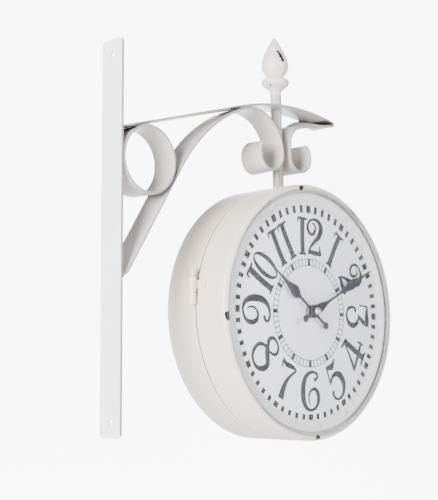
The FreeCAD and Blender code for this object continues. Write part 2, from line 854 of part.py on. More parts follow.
def reveal_ring(side):
    """Stepped ring between dial and glass."""
    corners = [
        ("reveal_radius", "-reveal_back"),
        ("flange_radius", "-reveal_back"),
        ("flange_radius", "-reveal_front"),
        ("reveal_outer", "-reveal_front"),
        ("reveal_outer", "-(dial_front + reveal_high)"),
        ("reveal_mid + reveal_low", "-(dial_front + reveal_edge)"),
        ("reveal_mid", "-(dial_front + reveal_low)"),
    ]
    return turned_ring(side + "_reveal_ring", side, corners)


def hoop(side):
    """Angle section hoop that holds the dial from behind."""
    inner, back = "hoop_outer - hoop_flange", "-(hoop_front - hoop_width)"
    step = "-(hoop_front - hoop_thick)"
    corners = [
        (inner, "-hoop_front"),
        ("hoop_outer", "-hoop_front"),
        ("hoop_outer", back),
        ("hoop_outer - hoop_thick", back),
        ("hoop_outer - hoop_thick", step),
        (inner, step),
    ]
    return turned_ring(side + "_hoop", side, corners)


def flat_disc(name, side, radius_text, hole_text, start_text, thick_text):
    """Round plate with a centre hole, from a depth outwards."""
    body = new_body(name)
    rim = new_sketch(body, name + "_rim", "XZ_Plane", start_text)
    draw_circle(rim, "0", "0", radius_text)
    draw_circle(rim, "0", "0", hole_text)
    add_pad(body, name + "_plate", rim, thick_text)
    seat_on_axis(body, side)
    return body


# ---------------------------------------------------------------- movement
def movement(side):
    """Box of the clockwork with its battery bay, shaft bore and knob recess."""
    name = side + "_movement"
    body = new_body(name)
    face = new_sketch(body, name + "_face", "XZ_Plane", "movement_back")
    half = "movement_width/2"
    draw_outline(face, [("-" + half, "-" + half), (half, "-" + half), (half, half), ("-" + half, half)])
    add_pad(body, name + "_box", face, "movement_depth")
    add_fillet(body, name + "_corners", Vector(0, 1, 0), "movement_corner")
    bay = new_sketch(body, name + "_bay", "XZ_Plane", "movement_back")
    low, high = "-bay_low - bay_height/2", "-bay_low + bay_height/2"
    draw_outline(bay, [
        ("-bay_length/2", low),
        ("bay_length/2", low),
        ("bay_length/2", high),
        ("-bay_length/2", high),
    ])
    add_pocket(body, name + "_bay_cut", bay, "bay_floor - movement_back", True)
    seat = new_sketch(body, name + "_seat", "XZ_Plane", "movement_front")
    draw_circle(seat, "0", "0", "bushing_hole")
    add_pocket(body, name + "_seat_cut", seat, "bushing_root + face_gap", False)
    bore = new_sketch(body, name + "_bore", "XZ_Plane", "movement_front")
    draw_circle(bore, "0", "0", "tube_bore")
    add_pocket(body, name + "_bore_cut", bore, "movement_front - shaft_back + face_gap", False)
    recess = new_sketch(body, name + "_recess", "XZ_Plane", "movement_back")
    draw_circle(recess, "0", "knob_high", "knob_radius + knob_play")
    add_pocket(body, name + "_recess_cut", recess, "knob_recess", True)
    stem = new_sketch(body, name + "_stem", "XZ_Plane", "movement_back")
    draw_circle(stem, "0", "knob_high", "shaft_radius + turn_play")
    add_pocket(body, name + "_stem_cut", stem, "knob_recess + knob_stem + face_gap", True)
    seat_on_axis(body, side)
    return body


def tube(name, side, outer_text, inner_text, back_text, front_text, angle_turn=None):
    corners = [
        (inner_text, "-(%s)" % back_text),
        (outer_text, "-(%s)" % back_text),
        (outer_text, "-(%s)" % front_text),
        (inner_text, "-(%s)" % front_text),
    ]
    return turned_ring(name, side, corners, angle_turn)


def shaft_nut(side):
    name = side + "_shaft_nut"
    body = new_body(name)
    flats = new_sketch(body, name + "_flats", "XZ_Plane", "dial_front + 2*face_gap + plate_thick")
    draw_outline(flats, hex_corners("shaft_nut_flats"))
    draw_circle(flats, "0", "0", "bushing_hole")
    add_pad(body, name + "_block", flats, "shaft_nut_height")
    seat_on_axis(body, side)
    return body


def set_knob(side):
    """Knurled wheel on the back of the movement, drawn about its own axis."""
    name = side + "_set_knob"
    body = new_body(name)
    rim = new_sketch(body, name + "_rim", "XZ_Plane", "knob_seat - face_gap - knob_height")
    draw_circle(rim, "0", "0", "knob_radius")
    add_pad(body, name + "_wheel", rim, "knob_height")
    stem = new_sketch(body, name + "_stem", "XZ_Plane", "knob_seat - face_gap")
    draw_circle(stem, "0", "0", "shaft_radius")
    add_pad(body, name + "_spindle", stem, "knob_stem")
    notch = new_sketch(body, name + "_notch", "XZ_Plane", "knob_seat - face_gap - knob_height")
    draw_circle(notch, "knob_radius", "0", "knob_notch")
    cut = add_pocket(body, name + "_notch_cut", notch, "knob_height", True)
    knurl = body.newObject("PartDesign::PolarPattern", name + "_knurl")
    knurl.Originals = [cut]
    knurl.Axis = (rim, ["N_Axis"])
    knurl.Angle = 360
    knurl.Occurrences = KNOB_NOTCHES
    body.Tip = knurl
    seat_on_axis(body, side, raise_text="knob_high")
    return body


def battery(side):
    """Cell lying across the bay, its contact button towards the dial's right."""
    name = side + "_battery"
    body = new_body(name)
    half = new_sketch(body, name + "_half", "XY_Plane")
    near, far = "-battery_length/2 - battery_shift", "battery_length/2 - battery_shift"
    draw_outline(half, [
        ("0", near),
        ("battery_radius", near),
        ("battery_radius", far),
        ("nub_radius", far),
        ("nub_radius", far + " + nub_length"),
        ("0", far + " + nub_length"),
    ])
    add_revolution(body, name + "_can", half)
    rotation = SIDES[side][0].multiply(Rotation(Vector(0, 0, 1), -90))
    sign = SIDES[side][1]
    place(body, "reach", "case_y + battery_axis*%d" % sign, "case_z - bay_low", rotation)
    return body


def battery_contacts(side):
    """The two spring plates at the ends of the bay."""
    name = side + "_battery_contacts"
    sign = SIDES[side][1]
    plates = []
    for end in (-1, 1):
        middle = "reach + (bay_length/2 - face_gap - contact_thick/2)*%d" % end
        plates.append(new_box("%s_%s" % (name, "left" if end < 0 else "right"),
                              ("contact_thick", "contact_size", "contact_size"),
                              (middle + " - contact_thick/2",
                               "case_y + battery_axis*%d - contact_size/2" % sign,
                               "case_z - bay_low - contact_size/2")))
    return new_fuse(name, plates)


# ---------------------------------------------------------------- hands
def mirrored(right_side):
    """Closed outline from its right half, listed upwards; arcs come back the other way."""
    corners = list(right_side)
    for index in range(len(right_side) - 1, -1, -1):
        corner = right_side[index]
        x_text = "-(%s)" % corner[0]
        follower = right_side[index + 1] if index + 1 < len(right_side) else None
        if follower is not None and len(follower) == 4:
            corners.append((x_text, corner[1], follower[2], follower[3]))
        else:
            corners.append((x_text, corner[1]))
    return corners


def hand(name, side, level_text, outline, tail_text, bore_text, angle_text):
    """Spade hand with a round hub and a ball at its tail, drawn pointing to twelve."""
    body = new_body(name)
    hub = new_sketch(body, name + "_hub", "XZ_Plane", level_text)
    draw_circle(hub, "0", "0", "hub_radius")
    add_pad(body, name + "_hub_pad", hub, "hand_thick")
    blade = new_sketch(body, name + "_blade", "XZ_Plane", level_text)
    draw_outline(blade, mirrored(outline))
    add_pad(body, name + "_blade_pad", blade, "hand_thick")
    ball = new_sketch(body, name + "_ball", "XZ_Plane", level_text)
    draw_circle(ball, "0", "-(%s)" % tail_text, "tail_ball")
    add_pad(body, name + "_ball_pad", ball, "hand_thick")
    bore = new_sketch(body, name + "_bore", "XZ_Plane", level_text)
    draw_circle(bore, "0", "0", bore_text)
    add_pocket(body, name + "_bore_cut", bore, "hand_thick", True)
    seat_on_axis(body, side, Rotation(Vector(0, 1, 0), value(angle_text)))
    return body


def hour_hand(side):
    outline = [
        ("stem_half", "-hour_tail"),
        ("stem_half", "hour_spade_low"),
        ("hour_spade_half", "hour_spade", "hour_spade - hour_spade_low", 1),
        ("stem_half", "hour_spade_high", "leaf_curve", -1),
        ("tip_half", "hour_length"),
    ]
    return hand(side + "_hour_hand", side, "hour_back", outline, "hour_tail",
                "tube_radius + press_play", "hour_angle")


def minute_hand(side):
    outline = [
        ("stem_half", "-minute_tail"),
        ("stem_half", "0"),
        ("minute_root_half", "minute_root"),
        ("stem_half", "minute_waist", "leaf_curve", -1),
        ("stem_half", "minute_barb - stem_half*2"),
        ("minute_barb_half", "minute_barb"),
        ("minute_barb_half - stem_half", "minute_barb + stem_half*3"),
        ("minute_spade_half", "minute_spade", "leaf_curve", 1),
        ("stem_half", "minute_spade_high", "leaf_curve*2", -1),
        ("tip_half", "minute_length"),
    ]
    return hand(side + "_minute_hand", side, "minute_back", outline, "minute_tail",
                "shaft_radius + press_play", "minute_angle")


def hand_cap(side):
    """Domed nut that holds the minute hand on its shaft."""
    bore = "shaft_radius + press_play"
    socket = "-(shaft_front + face_gap)"
    corners = [
        (bore, "-cap_back"),
        ("cap_radius", "-cap_back"),
        ("cap_radius", "-cap_shoulder"),
        ("cap_radius - cap_bevel", "-(cap_top - cap_bevel)"),
        ("0", "-cap_top"),
        ("0", socket),
        (bore, socket),
    ]
    return turned_ring(side + "_hand_cap", side, corners)


# ---------------------------------------------------------------- assembly
KNOB_NOTCHES = 8

PIECES = {
    "wall_bar": wall_bar(),
    "top_arm": top_arm(),
    "brace": brace(),
    "corner_ring": corner_ring(),
    "hanger_rod": hanger_rod(),
    "finial": finial(),
    "rod_flare": rod_flare(),
    "rod_nut": rod_nut(),
    "rear_shell": shell("rear"),
    "lap_band": lap_band(),
    "front_shell": shell("front"),
    "hinge_rear": hinge("rear"),
    "hinge_front": hinge("front"),
    "hinge_pin": hinge_pin(),
}
for side in ("front", "rear"):
    movement_rim = "movement_front + face_gap"
    PIECES.update({
        side + "_gasket": gasket(side),
        side + "_glass": glass(side),
        side + "_reveal_ring": reveal_ring(side),
        side + "_dial": flat_disc(side + "_dial", side, "dial_radius", "bushing_hole",
                                  "dial_back", "dial_thick"),
        side + "_hoop": hoop(side),
        side + "_washer": flat_disc(side + "_washer", side, "washer_radius", "bushing_hole",
                                    movement_rim, "washer_thick"),
        side + "_movement": movement(side),
        side + "_bushing": tube(side + "_bushing", side, "bushing_radius", "tube_bore",
                                "bushing_back", "bushing_front"),
        side + "_shaft_plate": flat_disc(side + "_shaft_plate", side, "plate_radius", "bushing_hole",
                                         "dial_front + face_gap", "plate_thick"),
        side + "_shaft_nut": shaft_nut(side),
        side + "_hour_tube": tube(side + "_hour_tube", side, "tube_radius",
                                  "shaft_radius + turn_play", "tube_back", "tube_front"),
        side + "_minute_shaft": tube(side + "_minute_shaft", side, "shaft_radius", "0",
                                     "shaft_back", "shaft_front"),
        side + "_hour_hand": hour_hand(side),
        side + "_minute_hand": minute_hand(side),
        side + "_hand_cap": hand_cap(side),
        side + "_set_knob": set_knob(side),
        side + "_battery": battery(side),
        side + "_battery_contacts": battery_contacts(side),
    })

doc.recompute()

# ---------------------------------------------------------------- checks and files
for thing in doc.Objects:
    if "Invalid" in thing.State or "Error" in thing.State:
        raise RuntimeError("%s did not recompute" % thing.Name)
for name, piece in PIECES.items():
    shape = piece.Shape
    if piece.Label != name:
        raise RuntimeError("%s is labelled %s" % (name, piece.Label))
    if shape.isNull() or not shape.isValid() or not shape.Solids:
        raise RuntimeError("%s has no valid solid" % name)
os.makedirs("parts", exist_ok=True)
for name, piece in PIECES.items():
    piece.Shape.exportStep(os.path.join("parts", name + ".step"))
    print("%-24s %10.1f mm3" % (name, piece.Shape.Volume))
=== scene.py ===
import math

import bmesh
import bpy
import numpy as np
from mathutils import Matrix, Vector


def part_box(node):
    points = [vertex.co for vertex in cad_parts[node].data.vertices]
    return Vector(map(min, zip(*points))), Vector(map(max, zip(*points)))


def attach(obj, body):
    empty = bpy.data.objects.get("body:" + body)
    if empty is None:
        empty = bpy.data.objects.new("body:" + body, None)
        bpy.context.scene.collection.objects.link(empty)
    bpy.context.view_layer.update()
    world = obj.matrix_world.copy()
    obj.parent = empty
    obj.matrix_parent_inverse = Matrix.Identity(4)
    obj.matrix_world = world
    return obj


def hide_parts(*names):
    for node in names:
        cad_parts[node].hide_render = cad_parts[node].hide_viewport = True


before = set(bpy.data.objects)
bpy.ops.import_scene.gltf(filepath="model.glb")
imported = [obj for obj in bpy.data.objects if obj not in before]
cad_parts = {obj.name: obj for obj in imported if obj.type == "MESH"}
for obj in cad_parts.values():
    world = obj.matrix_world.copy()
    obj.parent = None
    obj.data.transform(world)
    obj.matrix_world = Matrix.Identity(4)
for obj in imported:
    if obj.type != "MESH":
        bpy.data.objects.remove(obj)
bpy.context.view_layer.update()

bl_info = {
    "name": "Station clock dresser",
    "version": (1, 0, 0),
    "blender": (4, 5, 0),
    "location": "3D View > Sidebar > Clock",
    "description": "Dresses the frame of a double sided station clock on a scrolled wall bracket",
    "category": "Object",
}

MM = 0.001
HOUSING = {"front": "door", "rear": "frame"}  # body that holds each side's shell, cover and dial
FINISH = {}  # materials by name, filled by make_materials


def linear(hex_text):
    """sRGB hex colour as linear red, green and blue."""
    parts = np.array([int(hex_text[i:i + 2], 16) / 255 for i in (1, 3, 5)])
    low, high = parts / 12.92, ((parts + 0.055) / 1.055) ** 2.4
    return tuple(np.where(parts <= 0.04045, low, high))


# ------------------------------------------------------------------ properties
def length(name, description, default):
    return bpy.props.FloatProperty(name=name, description=description, default=default * MM,
                                   unit="LENGTH", subtype="DISTANCE", precision=4)


def colour(name, description, hex_text):
    return bpy.props.FloatVectorProperty(name=name, description=description, subtype="COLOR",
                                         size=3, min=0, max=1, default=linear(hex_text))


class ClockSizes(bpy.types.PropertyGroup):
    """Sizes of the pieces that are drawn here, as the frame has them"""
    reach: length("Reach", "Wall face to the rod's axis", 237)
    case_y: length("Case depth place", "Middle plane of the drum from the bracket's middle", -7.5)
    case_z: length("Case height place", "Drum axis from the middle of the wall holes", -65)
    case_radius: length("Case radius", "Outside radius of the drum", 135)
    case_half: length("Case half depth", "Middle plane of the drum to a lip's face", 42.5)
    strip_width: length("Strip width", "Width of the bent flat strip", 30)
    strip_thick: length("Strip thickness", "Thickness of the bent flat strip", 2.5)
    rod_radius: length("Rod radius", "Radius of the hanger rod", 6)
    numeral_middle: length("Numeral circle", "Radius of the circle that the numerals are centred on", 82)


class ClockColours(bpy.types.PropertyGroup):
    """Colours of the finishes"""
    # the strips' tone is set well below the bar's enamel, partly as painted shade on the strips
    bracket: colour("Bracket enamel", "Worn white paint of the bent strips", "#BEB7B0")
    bar: colour("Bar enamel", "Cool white paint of the wall bar", "#ECEBEB")
    case: colour("Case enamel", "Warm white paint of the drum", "#DFD0C3")
    dial: colour("Dial", "Pale grey paper of the dials", "#F5F6FF")
    ink: colour("Numeral ink", "Grey ink of the numerals", "#29292F")
    marks: colour("Mark ink", "Darker ink of the minute marks", "#26262B")
    hands: colour("Hands", "Dark violet grey enamel of the hands", "#37343F")


def sizes():
    """The sizes in millimetres, by name."""
    group = bpy.context.scene.clock_sizes
    return {key: getattr(group, key) / MM for key in ClockSizes.__annotations__}


def tint(name):
    return tuple(getattr(bpy.context.scene.clock_colours, name))


# ------------------------------------------------------------------ mesh tools
def closed_grid(points, wrap_u=False, wrap_v=False):
    """Vertices and quads of a surface given as rows of points; a wrapped side joins its start."""
    rows, columns = points.shape[:2]
    u = np.arange(rows if wrap_u else rows - 1)
    v = np.arange(columns if wrap_v else columns - 1)
    a, b = np.meshgrid(u, v, indexing="ij")
    a2, b2 = (a + 1) % rows, (b + 1) % columns
    quads = np.stack([a * columns + b, a2 * columns + b, a2 * columns + b2, a * columns + b2], -1)
    return points.reshape(-1, 3), quads.reshape(-1, 4)


def add_piece(name, surfaces, finish, body, replaces=(), crease=35):
    """One object from closed surfaces in millimetres, with its doubles merged and normals outwards."""
    corners, faces, count = [], [], 0
    for points, quads in surfaces:
        corners.append(points)
        faces.append(quads + count)
        count += len(points)
    mesh = bpy.data.meshes.new(name)
    mesh.from_pydata((np.vstack(corners) * MM).tolist(), [], np.vstack(faces).tolist())
    shape = bmesh.new()
    shape.from_mesh(mesh)
    bmesh.ops.remove_doubles(shape, verts=shape.verts, dist=2e-6)
    bmesh.ops.dissolve_degenerate(shape, edges=shape.edges, dist=1e-7)
    bmesh.ops.recalc_face_normals(shape, faces=shape.faces)
    shape.to_mesh(mesh)
    shape.free()
    mesh.polygons.foreach_set("use_smooth", np.ones(len(mesh.polygons), bool))
    mesh.set_sharp_from_angle(angle=math.radians(crease))
    mesh.materials.append(FINISH[finish])
    piece = bpy.data.objects.new(name, mesh)
    bpy.context.scene.collection.objects.link(piece)
    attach(piece, body)
    if replaces:
        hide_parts(*replaces)
    return piece


def soft_corners(outline, steps=5):
    """Closed outline with each (x, y, radius) corner turned into a round of that radius."""
    outline = [tuple(corner) + (0,) * (3 - len(corner)) for corner in outline]
    points = []
    for index, (x, y, radius) in enumerate(outline):
        here = np.array([x, y], float)
        before = np.array(outline[index - 1][:2], float)
        after = np.array(outline[(index + 1) % len(outline)][:2], float)
        if radius == 0:
            points.append(here)
            continue
        back = (before - here) / np.linalg.norm(before - here)
        on = (after - here) / np.linalg.norm(after - here)
        half = math.acos(np.clip(back @ on, -1, 1)) / 2
        reach = min(radius / math.tan(half), 0.49 * np.linalg.norm(before - here),
                    0.49 * np.linalg.norm(after - here))
        radius = reach * math.tan(half)
        middle = here + (back + on) / np.linalg.norm(back + on) * radius / math.sin(half)
        first, last = here + back * reach - middle, here + on * reach - middle
        share = np.linspace(0, 1, steps)[:, None]
        arc = first * (1 - share) + last * share
        arc *= radius / np.linalg.norm(arc, axis=1, keepdims=True)
        points.extend(middle + arc)
    return np.array(points)


def arc_points(centre, radius, start, stop, steps):
    """Points on an arc between two angles in degrees."""
    turn = np.radians(np.linspace(start, stop, steps))
    return np.c_[centre[0] + radius * np.cos(turn), centre[1] + radius * np.sin(turn)]


def soft_box(x_low, y_low, x_high, y_high, radius, steps=5):
    """Outline of a rectangle with rounded corners."""
    return soft_corners([(x_low, y_low, radius), (x_high, y_low, radius), (x_high, y_high, radius),
                         (x_low, y_high, radius)], steps)


def resampled(outline, step):
    """Closed outline with points added along the sides that are longer than a step."""
    dense = []
    for start, stop in zip(outline, np.roll(outline, -1, axis=0)):
        count = max(1, int(np.linalg.norm(stop - start) / step))
        share = np.linspace(0, 1, count, endpoint=False)[:, None]
        dense.append(start * (1 - share) + stop * share)
    return np.vstack(dense)


def smooth_through(values, fine):
    """Catmull-Rom curve through evenly placed values, at places from 0 to 1."""
    values = np.asarray(values, float)
    padded = np.r_[2 * values[:1] - values[1:2], values, 2 * values[-1:] - values[-2:-1]]
    spot = np.clip(fine * (len(values) - 1), 0, len(values) - 1 - 1e-9)
    index = spot.astype(int)
    t = (spot - index).reshape(-1, *([1] * (values.ndim - 1)))
    a, b, c, d = (padded[index + k] for k in range(4))
    square, cube = 2 * a - 5 * b + 4 * c - d, 3 * b - a - 3 * c + d
    return 0.5 * (2 * b + (c - a) * t + square * t ** 2 + cube * t ** 3)


def eased(share):
    """Smooth step from 0 to 1."""
    share = np.clip(share, 0, 1)
    return share ** 2 * (3 - 2 * share)


def layered(levels):
    """Rows of points at given heights, from pairs of flat points and their height."""
    return [np.c_[flat, np.full(len(flat), height)] for flat, height in levels]


def capped(rows):
    """Rows with one more at each end, drawn together to a point, so that the surface is closed."""
    first, last = (row.mean(1, keepdims=True) + 0 * row for row in (rows[:1], rows[-1:]))
    return np.concatenate([first, rows, last])


def prism(section, low, high):
    """Closed surface of an (x, y) section drawn from one height to another."""
    return closed_grid(capped(np.stack(layered([(section, low), (section, high)]))), wrap_v=True)


def lathe(profile, segments):
    """Points of a profile (radius, height) turned about an axis: angle by row, profile by column."""
    turn = np.linspace(0, 2 * math.pi, segments, endpoint=False)[:, None]
    radius, height = profile[None, :, 0], profile[None, :, 1]
    return np.stack([radius * np.sin(turn), radius * np.cos(turn), height + 0 * turn], -1)


def on_rod(profile, segments):
    """Profile turned about the rod's axis, shifted with its height over the drum as the real rod leans."""
    s = sizes()
    points = lathe(profile, segments) + np.array([s["reach"], 0, 0])
    rise = points[..., 2:3] - (s["case_z"] + s["case_radius"])
    return closed_grid(points + rise * np.array([-0.016, 0.012, 0]), wrap_u=True)


def on_side(points, side):
    """Dial points (right, up, outwards from the middle plane) put on the front or rear of the drum."""
    s = sizes()
    right, up, out = points[..., 0], points[..., 1], points[..., 2]
    turn = 1 if side == "front" else -1
    return np.stack([s["reach"] + turn * right, s["case_y"] - turn * out, s["case_z"] + up], -1)


def turned(profile, side, segments=192, shift=(0, 0, 0), wrap_v=True):
    """Surface of a profile (radius, outwards) turned about the drum's axis on one side."""
    return closed_grid(on_side(lathe(profile, segments) + np.array(shift), side), wrap_u=True, wrap_v=wrap_v)


def strip_section():
    """Section of the bracket's flat strip with rounded edges, as (across, through) points."""
    s = sizes()
    w, t = s["strip_width"] / 2, s["strip_thick"] / 2
    return soft_box(-w, -t, w, t, 0.55, 4)


def strip_path(start, heading, steps, gap=1.2):
    """Centre line of a bent strip as rows of x, z and heading.

    Straight runs follow the heading; an arc's point is its centre plus the radius square to the
    turned heading.
    """
    x, z = start
    rows = []
    for step in steps:
        if len(step) == 1:
            share = np.linspace(0, 1, max(3, int(step[0] / gap / 3)), endpoint=False)
            rows.append(np.c_[x + share * step[0] * math.cos(heading),
                              z + share * step[0] * math.sin(heading), heading + 0 * share])
            x += step[0] * math.cos(heading)
            z += step[0] * math.sin(heading)
            continue
        radius, sweep, side = step[0], math.radians(step[1]), step[2]
        count = max(8, int(radius * sweep / gap), int(math.degrees(sweep) / 6))
        turned = heading + side * sweep * np.linspace(0, 1, count, endpoint=False)
        cx, cz = x - side * radius * math.sin(heading), z + side * radius * math.cos(heading)
        rows.append(np.c_[cx + side * radius * np.sin(turned), cz - side * radius * np.cos(turned), turned])
        heading += side * sweep
        x, z = cx + side * radius * math.sin(heading), cz - side * radius * math.cos(heading)
    rows.append(np.array([[x, z, heading]]))
    return np.vstack(rows)


def carried(path, section):
    """A closed section carried along a path: x and z shift along the path's normal, y across it."""
    across, through = section[None, :, 0], section[None, :, 1]
    x, z, heading = (path[:, None, i] for i in range(3))
    points = np.stack([x - through * np.sin(heading), across + 0 * x, z + through * np.cos(heading)], -1)
    return capped(points)


def run_along(path):
    """Distance along a path for each row of the strip carried along it, as a column."""
    run = np.r_[0, np.cumsum(np.hypot(*np.diff(path[:, :2], axis=0).T))]
    return np.r_[run[0], run, run[-1]][:, None]


# ------------------------------------------------------------------ materials
def add_node(tree, kind, inputs=None, **settings):
    """Adds a node, sets its properties, and sets each named input or links it to a socket."""
    made = tree.nodes.new(kind)
    for key, item in settings.items():
        setattr(made, key, item)
    for key, item in (inputs or {}).items():
        if isinstance(item, bpy.types.NodeSocket):
            tree.links.new(item, made.inputs[key])
        else:
            made.inputs[key].default_value = item
    return made


def cloud(tree, place, size_mm, detail=2.0):
    """Outputs of a cloud pattern whose patches are about size_mm wide."""
    return add_node(tree, "ShaderNodeTexNoise",
                    {"Vector": place, "Scale": 1000 / size_mm, "Detail": detail}).outputs


def ranged(tree, value, start, stop, low=0.0, high=1.0):
    """Number that goes from low to high while a value goes from start to stop."""
    return add_node(tree, "ShaderNodeMapRange", {"Value": value, "From Min": start, "From Max": stop,
                                                 "To Min": low, "To Max": high}).outputs["Result"]


def varied(tree, place, size_mm, low, high, detail=2.0):
    """A number that wanders between two values over patches of size_mm."""
    # a cloud's values lie almost all between 0.35 and 0.65
    return ranged(tree, cloud(tree, place, size_mm, detail)["Fac"], 0.35, 0.65, low, high)


def number(tree, operation, *items):
    return add_node(tree, "ShaderNodeMath", dict(enumerate(items)), operation=operation).outputs[0]


def vector(tree, operation, *items):
    made = add_node(tree, "ShaderNodeVectorMath", dict(enumerate(items)), operation=operation)
    return made.outputs["Value" if operation == "DISTANCE" else "Vector"]


def flattened(tree, place):
    """Place with nothing across the bracket, so that distances count in x and z only."""
    return vector(tree, "MULTIPLY", place, (1, 0, 1))


def axis(tree, place, name):
    return add_node(tree, "ShaderNodeSeparateXYZ", {"Vector": place}).outputs[name]


def mixed(tree, factor, *colours):
    """First colour going over to the second; each is a socket, hex text or linear RGB."""
    inputs = {"Factor": factor}
    for socket, item in zip((6, 7), colours):
        item = linear(item) if isinstance(item, str) else item
        inputs[socket] = item + (1.0,) if isinstance(item, tuple) else item
    return add_node(tree, "ShaderNodeMix", inputs, data_type="RGBA").outputs[2]


def shade(rgb, factor):
    return tuple(min(1.0, part * factor) for part in rgb)


def start_material(name, size_mm, dark, light):
    """Node material with the object's own coordinates and a tone mottled in patches of size_mm."""
    material = bpy.data.materials.new(name)
    material.use_nodes = True
    tree = material.node_tree
    tree.nodes.clear()
    place = add_node(tree, "ShaderNodeTexCoord").outputs["Object"]
    return material, tree, place, mixed(tree, varied(tree, place, size_mm, 0, 1, 3.0), dark, light)


def finish_material(material, place, tone, rough, bumps=(), extra=None):
    """Closes a material with one principled shader, which also takes the extra inputs.

    The roughness is one number, or (patch size in mm, low, high). The bumps are cloud patterns,
    each (size in mm, height in mm).
    """
    tree = material.node_tree
    if isinstance(rough, tuple):
        rough = varied(tree, place, *rough)
    inputs = {"Base Color": tone, "Roughness": rough}
    for size_mm, height_mm in bumps:
        layer = {"Height": cloud(tree, place, size_mm)["Fac"], "Distance": height_mm * MM, "Strength": 1.0}
        if "Normal" in inputs:
            layer["Normal"] = inputs["Normal"]
        inputs["Normal"] = add_node(tree, "ShaderNodeBump", layer).outputs["Normal"]
    shader = add_node(tree, "ShaderNodeBsdfPrincipled", {**inputs, **(extra or {})})
    add_node(tree, "ShaderNodeOutputMaterial", {"Surface": shader.outputs["BSDF"]})
    return material


def plain_material(name, mottle, rough, bumps=(), extra=None):
    """Material with no more than a mottled tone, a roughness and bumps."""
    material, _, place, tone = start_material(name, *mottle)
    return finish_material(material, place, tone, rough, bumps, extra)


def spotted(tree, place, base, spots, outer, inner, share, other):
    """Base colour going over to another in spots, each (x, y, z, radius) in mm.

    A spot comes in from outer to inner times its radius, up to the given share.
    """
    for x, y, z, radius in spots:
        away = vector(tree, "DISTANCE", place, (x * MM, y * MM, z * MM))
        near = ranged(tree, away, radius * outer * MM, radius * inner * MM, 0, share)
        base = mixed(tree, near, base, other)
    return base


def chipped(tree, place, base, chips):
    """Base colour with ragged dark spots where the paint is off.

    The place is pushed about by a 4 mm cloud, so that each spot's edge is torn.
    """
    push = vector(tree, "SUBTRACT", cloud(tree, place, 4.0, 3.0)["Color"], (0.5, 0.5, 0.5))
    push = vector(tree, "MULTIPLY", push, (3.2 * MM,) * 3)
    return spotted(tree, vector(tree, "ADD", place, push), base, chips, 1.1, 0.9, 1.0, "#070605")


def painted_crease_shade(tree, place, base, lines):
    """Base colour darkened along lines across the bracket, each (x, z, radius) in mm: painted shade in the
    creases.

    Only x and z count, so a line runs the full width of the strips, and its edge fades.
    """
    spots = [(x, 0, z, radius) for x, z, radius in lines]
    return spotted(tree, flattened(tree, place), base, spots, 1.35, 0.75, 0.93, "#1A1613")


def painted_lip_shade(tree, place, base, inner, outer, amount):
    """Base colour greyed in patches from one radius out to another about the drum's axis: painted shade on the
    lip beside the glass.
    """
    s = sizes()
    away = vector(tree, "DISTANCE", flattened(tree, place), (s["reach"] * MM, 0, s["case_z"] * MM))
    near = ranged(tree, away, outer * MM, inner * MM)
    patch = varied(tree, place, 22, amount * 0.45, amount, 3.0)
    return mixed(tree, number(tree, "MULTIPLY", near, patch), base, "#6B6764")


def painted_ring_shade(tree, place, base):
    """Base colour darkened in the narrow gaps just outside the corner ring, as painted shade."""
    low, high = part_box("corner_ring")
    radius = (high[0] - low[0]) / 2
    middle = ((low[0] + high[0]) / 2, 0, (low[2] + high[2]) / 2)
    away = vector(tree, "DISTANCE", flattened(tree, place), middle)
    near = ranged(tree, away, radius + 5.5 * MM, radius + 0.8 * MM, 0, 0.8)
    past = ranged(tree, away, radius + 0.1 * MM, radius + 0.25 * MM)
    return mixed(tree, number(tree, "MULTIPLY", near, past), base, "#3A3634")


def edge_greyed(tree, place, base, half_width, grey):
    """Base colour greyed on the cut edges of a strip, past half_width in mm from its middle."""
    away = number(tree, "ABSOLUTE", axis(tree, place, "Y"))
    return mixed(tree, ranged(tree, away, (half_width - 0.35) * MM, half_width * MM, 0, 0.8), base, grey)


def painted_low_shade(tree, place, base, low, high):
    """Base colour greyed between two heights in mm, most at the lower one: painted shade."""
    share = ranged(tree, axis(tree, place, "Z"), high * MM, low * MM, 0, 0.62)
    return mixed(tree, share, base, "#6B6763")


def enamel(name, rgb, chips=(), lines=(), lip_shade=None, grey_edge=None, low_shade=None):
    """Sprayed enamel on steel: a soft orange peel, faint cloudy tone and a satin sheen."""
    material, tree, place, tone = start_material(name, 55, shade(rgb, 0.955), shade(rgb, 1.01))
    # painted shade, darker towards the bottom
    if low_shade:
        tone = painted_low_shade(tree, place, tone, *low_shade)
    if grey_edge:
        tone = edge_greyed(tree, place, tone, *grey_edge)
    # painted shade on the lip's inner rim
    if lip_shade:
        tone = painted_lip_shade(tree, place, tone, *lip_shade)
    if chips:
        tone = chipped(tree, place, tone, chips)
    # painted shade in the creases, and in the gaps beside the corner ring
    if lines:
        tone = painted_crease_shade(tree, place, painted_ring_shade(tree, place, tone), lines)
    # orange peel of sprayed paint is about 1.5 mm; drawn at 2 mm so that it shows
    return finish_material(material, place, tone, (18, 0.34, 0.46), [(2.0, 0.012), (40, 0.10)],
                           {"Coat Weight": 0.15, "Coat Roughness": 0.25})


def polar(angle, radius, out):
    """Frame place in mm of a point on the front of the drum, clockwise from twelve."""
    s = sizes()
    turn = math.radians(angle)
    return (s["reach"] + radius * math.sin(turn), s["case_y"] - out, s["case_z"] + radius * math.cos(turn))


METAL = {"Metallic": 1.0}
